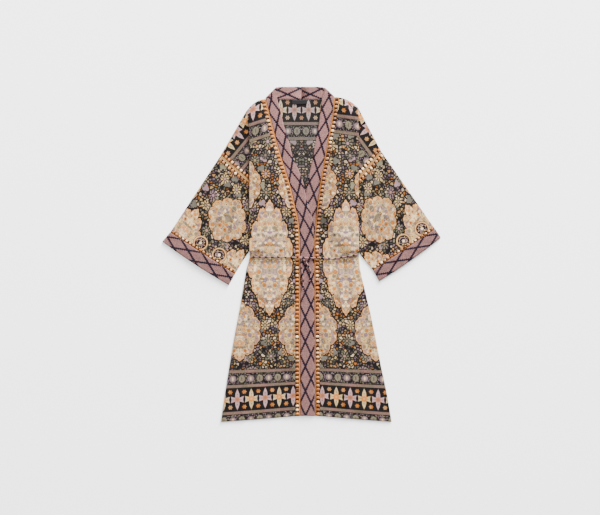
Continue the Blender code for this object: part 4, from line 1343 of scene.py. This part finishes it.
def border_colour(s, u, h, ground):
    """The woven-look borders by place u along and depth h: stripes, four-petal flowers and rosettes."""
    a, odd = in_repeat(u, FLOWER_PITCH)
    b = h - FLOWER_ROW
    t = (b.abs() / 32.5).least(1.0)
    lance = (a.abs() - (t + 0.12) * (1 - t) ** 1.3 * 23.0).step(0.4, -0.4)
    wing = (b.abs() - a.abs() * 0.36).under(3.0, 0.4) * (a.abs() - b * b * 0.024).under(17.2)
    wing = wing * b.abs().under(9.6)
    fleck = s.noise(u, h, 2.6).step(0.35, 0.62)
    petal = s.mix(fleck * 0.8, s.mix(odd, LILAC, CREAM), s.mix(odd, srgb(0.60, 0.48, 0.47), SAGE))
    colour = s.mix(lance.most(wing), INK, petal)
    slit = radius_of(a * 1.6, b.abs() - 15.5).under(2.3, 0.4)
    slit = slit.most(radius_of(a.abs() - 12.5, b * 1.6).under(1.9, 0.4))
    colour = s.mix(slit * 0.85, colour, BROWN)
    centre_tone = s.mix(odd, srgb(0.52, 0.31, 0.19), ORANGE)
    colour = s.mix(flower(a, b, 10.4, 8, 0.42), colour, centre_tone)
    colour = s.mix(flower(a, b, 4.6, 8, 0.4), colour, s.mix(odd, ROSE, PEACH))
    star_a, star_b = a.abs() - FLOWER_PITCH / 2, b.abs() - 23.0
    star_tone = s.shade(s.mix(s.noise(u, h, 30.0).step(0.45, 0.55), ORANGE, PEACH), 0.66)
    colour = s.mix(flower(star_a, star_b, 6.9, 6, 0.5), colour, star_tone)
    colour = s.mix(radius_of(star_a, star_b).under(1.6), colour, OCHRE)

    a, odd = in_repeat(u, ROSETTE_PITCH)
    b = nearest(h, ROSETTE_ROWS)
    dx, dy, rnd = s.scatter(u, h, 4.6, 0.9)
    leafy = radius_of(dx, dy).under(1.3, 0.4)
    row = s.mix(leafy, INK, s.choose(rnd[1], [LILAC, STRIPE, GREY, VIOLET, SAGE, INK]))
    row = s.mix(radius_of(a, b).under(12.2, 0.4), row, INK)
    oval = flower(a, b * 0.86, 10.2, 12, 0.2)
    star = flower(a, b, 11.2, 16, 0.42)
    fleck = s.noise(u, h, 2.2).step(0.35, 0.65) * 0.6
    row = s.mix(s.mix(odd, oval, star), row, s.mix(fleck, s.mix(odd, SAGE, LILAC), STRIPE))
    row = s.mix((radius_of(a, b) - 6.6).abs().under(0.6) * 0.8, row, s.mix(odd, STRIPE, GREY))
    row = s.mix(radius_of(a * 1.9, b * 0.8).under(4.6, 0.4) * 0.7, row, s.mix(odd, BROWN, CREAM))

    to_stripe = nearest(h, STRIPE_ROWS)
    colour = s.mix((h - BORDER_DEPTH).step(-0.2, 0.2), colour, ground)
    colour = s.mix(b.under(16.5, 0.2), colour, row)
    colour = s.mix(to_stripe.under(6.0, 0.2), colour, INK)
    tone = s.shade(s.mix(s.noise(u, h, 22.0).step(0.42, 0.58), ROSE, OLIVE), 1.12)
    tone = s.mix(s.noise(u, h, 2.4).step(0.34, 0.62), STRIPE, tone)
    return s.mix(to_stripe.under(4.4), colour, tone)


def roundels(s, along, depth, colour):
    """Two dark discs in peach rings near the cuff, each with pips, a lilac curl and a pale flower."""
    a = along.abs() - ROUNDEL_ASIDE
    b = depth - (ROUNDEL_START + ROUNDEL_HEIGHT)
    r = radius_of(a, b)
    for reach, tone in ((23.0, INK), (21.5, CREAM), (20.5, PEACH), (17.5, INK)):
        colour = s.mix(r.under(reach), colour, tone)
    dx, dy, rnd = s.scatter(along, depth, 5.0, 0.8)
    pips = radius_of(dx, dy).under(1.5) * r.under(15.5)
    colour = s.mix(pips, colour, s.choose(rnd[1], [CREAM, LILAC, GREY, PEACH]))
    curl = ((angle_of(a, b) / (2 * math.pi) + r / 9.0).frac() - 0.5).abs()
    colour = s.mix(curl.under(0.17, 0.04) * (r < 13.5), colour, INK)
    colour = s.mix(curl.under(0.09, 0.03) * (r < 13.0), colour, LILAC)
    colour = s.mix(flower(a, b, 6.2, 8, 0.6), colour, INK)
    return s.mix(flower(a, b, 5.2, 8, 0.65), colour, PALE)


def edging_print(s, away, along, colour):
    """The edging by distance away from its seam: an orange strip, then orange petals on black, over which the
    beads are sewn."""
    fleck = s.noise(away, along, 3.2)
    strip = s.mix(fleck.step(0.40, 0.62), OCHRE, ORANGE)
    a = ((along / BEAD_PITCH).frac() - 0.5) * BEAD_PITCH
    b = away - BEAD_OFFSET
    petal = radius_of(a / 4.1, b / 5.4).under(1.0, 0.08)
    row = s.mix(petal, DARK_AMBER, s.mix(fleck.step(0.45, 0.60), ORANGE, PEACH))
    colour = s.mix(away.under(14.0), colour, row)
    return s.mix(away.under(3.4), colour, strip)


def printed_cloth():
    """The printed crepe: ground, large and small medallions, roundels, borders and edging, one over another,
    and inside the back a greyer print for the cloth's wrong side, darkened as painted shade."""
    s = Shader("printed_cloth")
    x, y = s.place("print")
    across, up = s.place("layout")
    depth, border_along = s.place("border")
    away, along = s.place("edging")
    colour = millefleur(s, x, y)
    first = (across + 0.5).frac() - 0.5, up, y, (0.405, 0.40), 7.0, (AMBER_PEACH, CREAM, LILAC, SAGE), 1.03
    second = across.frac() - 0.5, up.frac() - 0.5, y, (0.375, 0.21), 5.0, (ORANGE, SAGE, VIOLET, SAGE), 0.88
    for placed in (first, second):
        colour = medallion(s, *placed, colour)
    colour = roundels(s, border_along, depth, colour)
    colour = border_colour(s, border_along, depth, colour)
    colour = edging_print(s, away, along, colour)
    z = s.height()
    # Inside the back: the wrong side's print turned greyer, and darkened by 0.8 as painted shade
    inside = (z - (BACK_Z + CLOTH * 0.3)).step(-0.05, 0.05) * z.under(CLOTH + 0.2, 0.05)
    colour = s.mix(inside * INSIDE_GREY_AND_SHADE, colour, s.shade(s.grey_of(colour), 0.8))
    colour = s.mix(inside * 0.05, colour, GREY)
    return weave_finish(s, x, y, colour, 0.78, 0.5)


def trellis_cloth():
    """Dusty mauve bands with flecks, under crossing navy lines that step like ikat."""
    s = Shader("trellis_band_cloth")
    along, across = s.place("print")
    jag = ((along / 5.4).frac() - 0.5).abs() * 5.6 + (s.noise(along, across, 2.6) - 0.5) * 3.0
    lines = []
    for sign in (1.0, -1.0):
        phase = (across + jag) / TRELLIS_WIDTH + along * (sign / TRELLIS_LENGTH)
        lines.append((phase.frac() - 0.5).abs().under(TRELLIS_LINE / TRELLIS_WIDTH / 2, 0.012))
    fleck = s.noise(along, across, 2.0, 3.0)
    colour = s.mix(fleck.step(0.50, 0.64), MAUVE, srgb(0.49, 0.345, 0.33))
    colour = s.mix(fleck.step(0.45, 0.32), colour, srgb(0.244, 0.172, 0.174))
    colour = s.mix(s.noise(along, across, 8.0).step(0.52, 0.70) * 0.55, colour, srgb(0.30, 0.25, 0.20))
    colour = s.shade(colour, along.step(NECK_PALE_FROM, NECK_PALE_FULL) * 0.22 + 1.0)
    colour = s.mix(lines[0].most(lines[1]), colour, NAVY)
    return weave_finish(s, along, across, colour, 0.8, 0.5)


def tie_cloth():
    """The turned cord, cut from the trellis print: mauve with navy dashes where a line of it crosses."""
    s = Shader("tie_cord")
    along, turn = s.place("cord")
    uneven = s.noise(along, turn * 0.0, 24.0) * 0.5
    dash = ((along / 19.0 + turn * 0.35 + uneven).frac() - 0.62).step(0.0, 0.04)
    fleck = s.noise(along, turn * 12.0, 1.6)
    colour = s.mix(fleck.step(0.40, 0.65), MAUVE, srgb(0.50, 0.37, 0.355))
    colour = s.mix(dash, colour, NAVY)
    return weave_finish(s, along, turn * 12.5, colour, 0.75, 0.5)


def label_cloth():
    """Dark ribbed weave, a rib each 0.7 mm."""
    s = Shader("label_cloth")
    x, y = s.place("print")
    ridge = (y * (2 * math.pi / 0.7)).sin() * 0.5 + 0.5
    colour = s.mix(ridge * 0.3, srgb(0.088, 0.078, 0.083), srgb(0.148, 0.139, 0.144))
    return weave_finish(s, x, y, colour, 0.6, 0.3)


def bead_glass():
    """Amber, gold and clear beads by each bead's own tint."""
    s = Shader("edging_beads")
    tint, _ = s.place("tint")
    colour = DARK_AMBER
    for low, high, tone in ((0.0, 0.16, AMBER), (0.2, 0.5, HONEY), (0.65, 0.8, PEACH), (0.8, 1.0, CLEAR)):
        colour = s.mix(tint.step(low, high), colour, tone)
    gloss = {"Roughness": 0.42, "Specular IOR Level": 0.3, "Coat Weight": 0.1}
    s.feed(s.surface, {"Base Color": colour, **gloss})
    return s.material


def plain_thread():
    """Cream thread, twisted."""
    s = Shader("piping_thread")
    along, turn = s.place("cord")
    ply = ((along / 1.6 + turn * 2.0) * (2 * math.pi)).sin() * 0.5 + 0.5
    colour = s.mix(ply * 0.6, CREAM, OCHRE)
    return weave_finish(s, along, turn * 4.0, colour, 0.6, 0.4)


def plain(name, colour, roughness):
    s = Shader(name)
    s.feed(s.surface, {"Base Color": colour, "Roughness": roughness})
    return s.material


# The scene

def camera():
    """Straight above, with the field of view worked out from the width that it takes in."""
    lens = SENSOR * CAMERA_HEIGHT / CAMERA_WIDTH
    data = bpy.data.cameras.new("camera")
    data.sensor_width = SENSOR
    data.lens = lens
    obj = bpy.data.objects.new("camera", data)
    obj.location = (*CAMERA_CENTRE, CAMERA_HEIGHT)
    bpy.context.scene.collection.objects.link(obj)
    bpy.context.scene.camera = obj


def lamp(name, place, size, power, target=(0.0, 0.0, 0.0)):
    """A round soft lamp that faces a target."""
    data = bpy.data.lights.new(name, "AREA")
    data.shape = "DISK"
    data.size = size
    data.energy = power
    obj = bpy.data.objects.new(name, data)
    obj.location = place
    away = [p - t for p, t in zip(place, target)]
    flat = math.hypot(away[0], away[1])
    obj.rotation_euler = (math.atan2(flat, away[2]), 0.0, math.atan2(away[1], away[0]) + math.pi / 2)
    bpy.context.scene.collection.objects.link(obj)


def studio():
    """A white floor and white surroundings, with a low raking lamp that brings out the folds."""
    mesh = bpy.data.meshes.new("floor")
    half = 6.0
    corners = [(x * half, y * half, FLOOR_Z) for x, y in ((-1, -1), (1, -1), (1, 1), (-1, 1))]
    mesh.from_pydata(corners, [], [(0, 1, 2, 3)])
    mesh.materials.append(plain("floor", (0.95, 0.95, 0.95, 1.0), 0.9))
    floor = bpy.data.objects.new("floor", mesh)
    bpy.context.scene.collection.objects.link(floor)
    world = bpy.data.worlds.new("studio")
    world.use_nodes = True
    background = world.node_tree.nodes["Background"]
    background.inputs["Color"].default_value = (1.0, 1.0, 1.0, 1.0)
    background.inputs["Strength"].default_value = 0.6
    bpy.context.scene.world = world
    lamp("rake", (5.7, 12.7, 2.95), 5.0, 14400.0)
    lamp("key", (3.4, 7.2, 4.4), 4.8, 2280.0)
    lamp("fill", (-2.0, 0.8, 5.0), 3.0, 320.0)


def main():
    camera()
    studio()
    rng = np.random.default_rng(11)
    cloth, trellis, tie, beads = printed_cloth(), trellis_cloth(), tie_cloth(), bead_glass()
    cream = plain_thread()
    back_cloth(cloth)
    band_rows, armhole_rows, cuff_rows = [], [], []
    for name, side in (("right", RIGHT), ("left", LEFT)):
        band_line, armhole_line, front_piping = front_cloth(f"front_{name}_cloth", side, cloth)
        sleeve, cuff = sleeve_surface(side), cuff_surface(side)
        top_wall = tube_cloth(f"sleeve_{name}_cloth", side, sleeve, cloth, "printed_cloth", LOOK_CLOTH)
        tube_cloth(f"cuff_{name}_cloth", side, cuff, trellis, "trellis_band_cloth", BAND_CLOTH)
        band_cloth(f"band_{name}_cloth", side, trellis)
        band_rows.append((band_line, PETAL_BEAD, None, 0.2))
        for line in (armhole_line, line_at(top_wall, BEAD_OFFSET)):
            armhole_rows.append((line, PETAL_BEAD, side, 0.35))
        cuff_rows.append((line_at(top_wall[:, ::-1], CUFF_BEAD_OFFSET), CUFF_BEAD, None, 0.4))
        piping(f"piping_{name}_front", front_piping, side, cream)
        piping(f"piping_{name}_sleeve", line_at(top_wall, PIPING_OFFSET), side, cream)
    bead_trim("band_beads", band_rows, beads, rng)
    bead_trim("armhole_beads", armhole_rows, beads, rng)
    bead_trim("cuff_beads", cuff_rows, beads, rng)
    knot = knot_piece(tie)
    tie_cord("tie_right_cord", TIE_RIGHT, "tie_right", tie)
    tie_cord("tie_left_cord", TIE_LEFT, "tie_left", tie)
    tie_cord("tail_right_cord", TAIL_RIGHT, "tie_tail_right", tie)
    tie_cord("tail_left_cord", TAIL_LEFT, "tie_tail_left", tie)
    label_piece(label_cloth())


main()
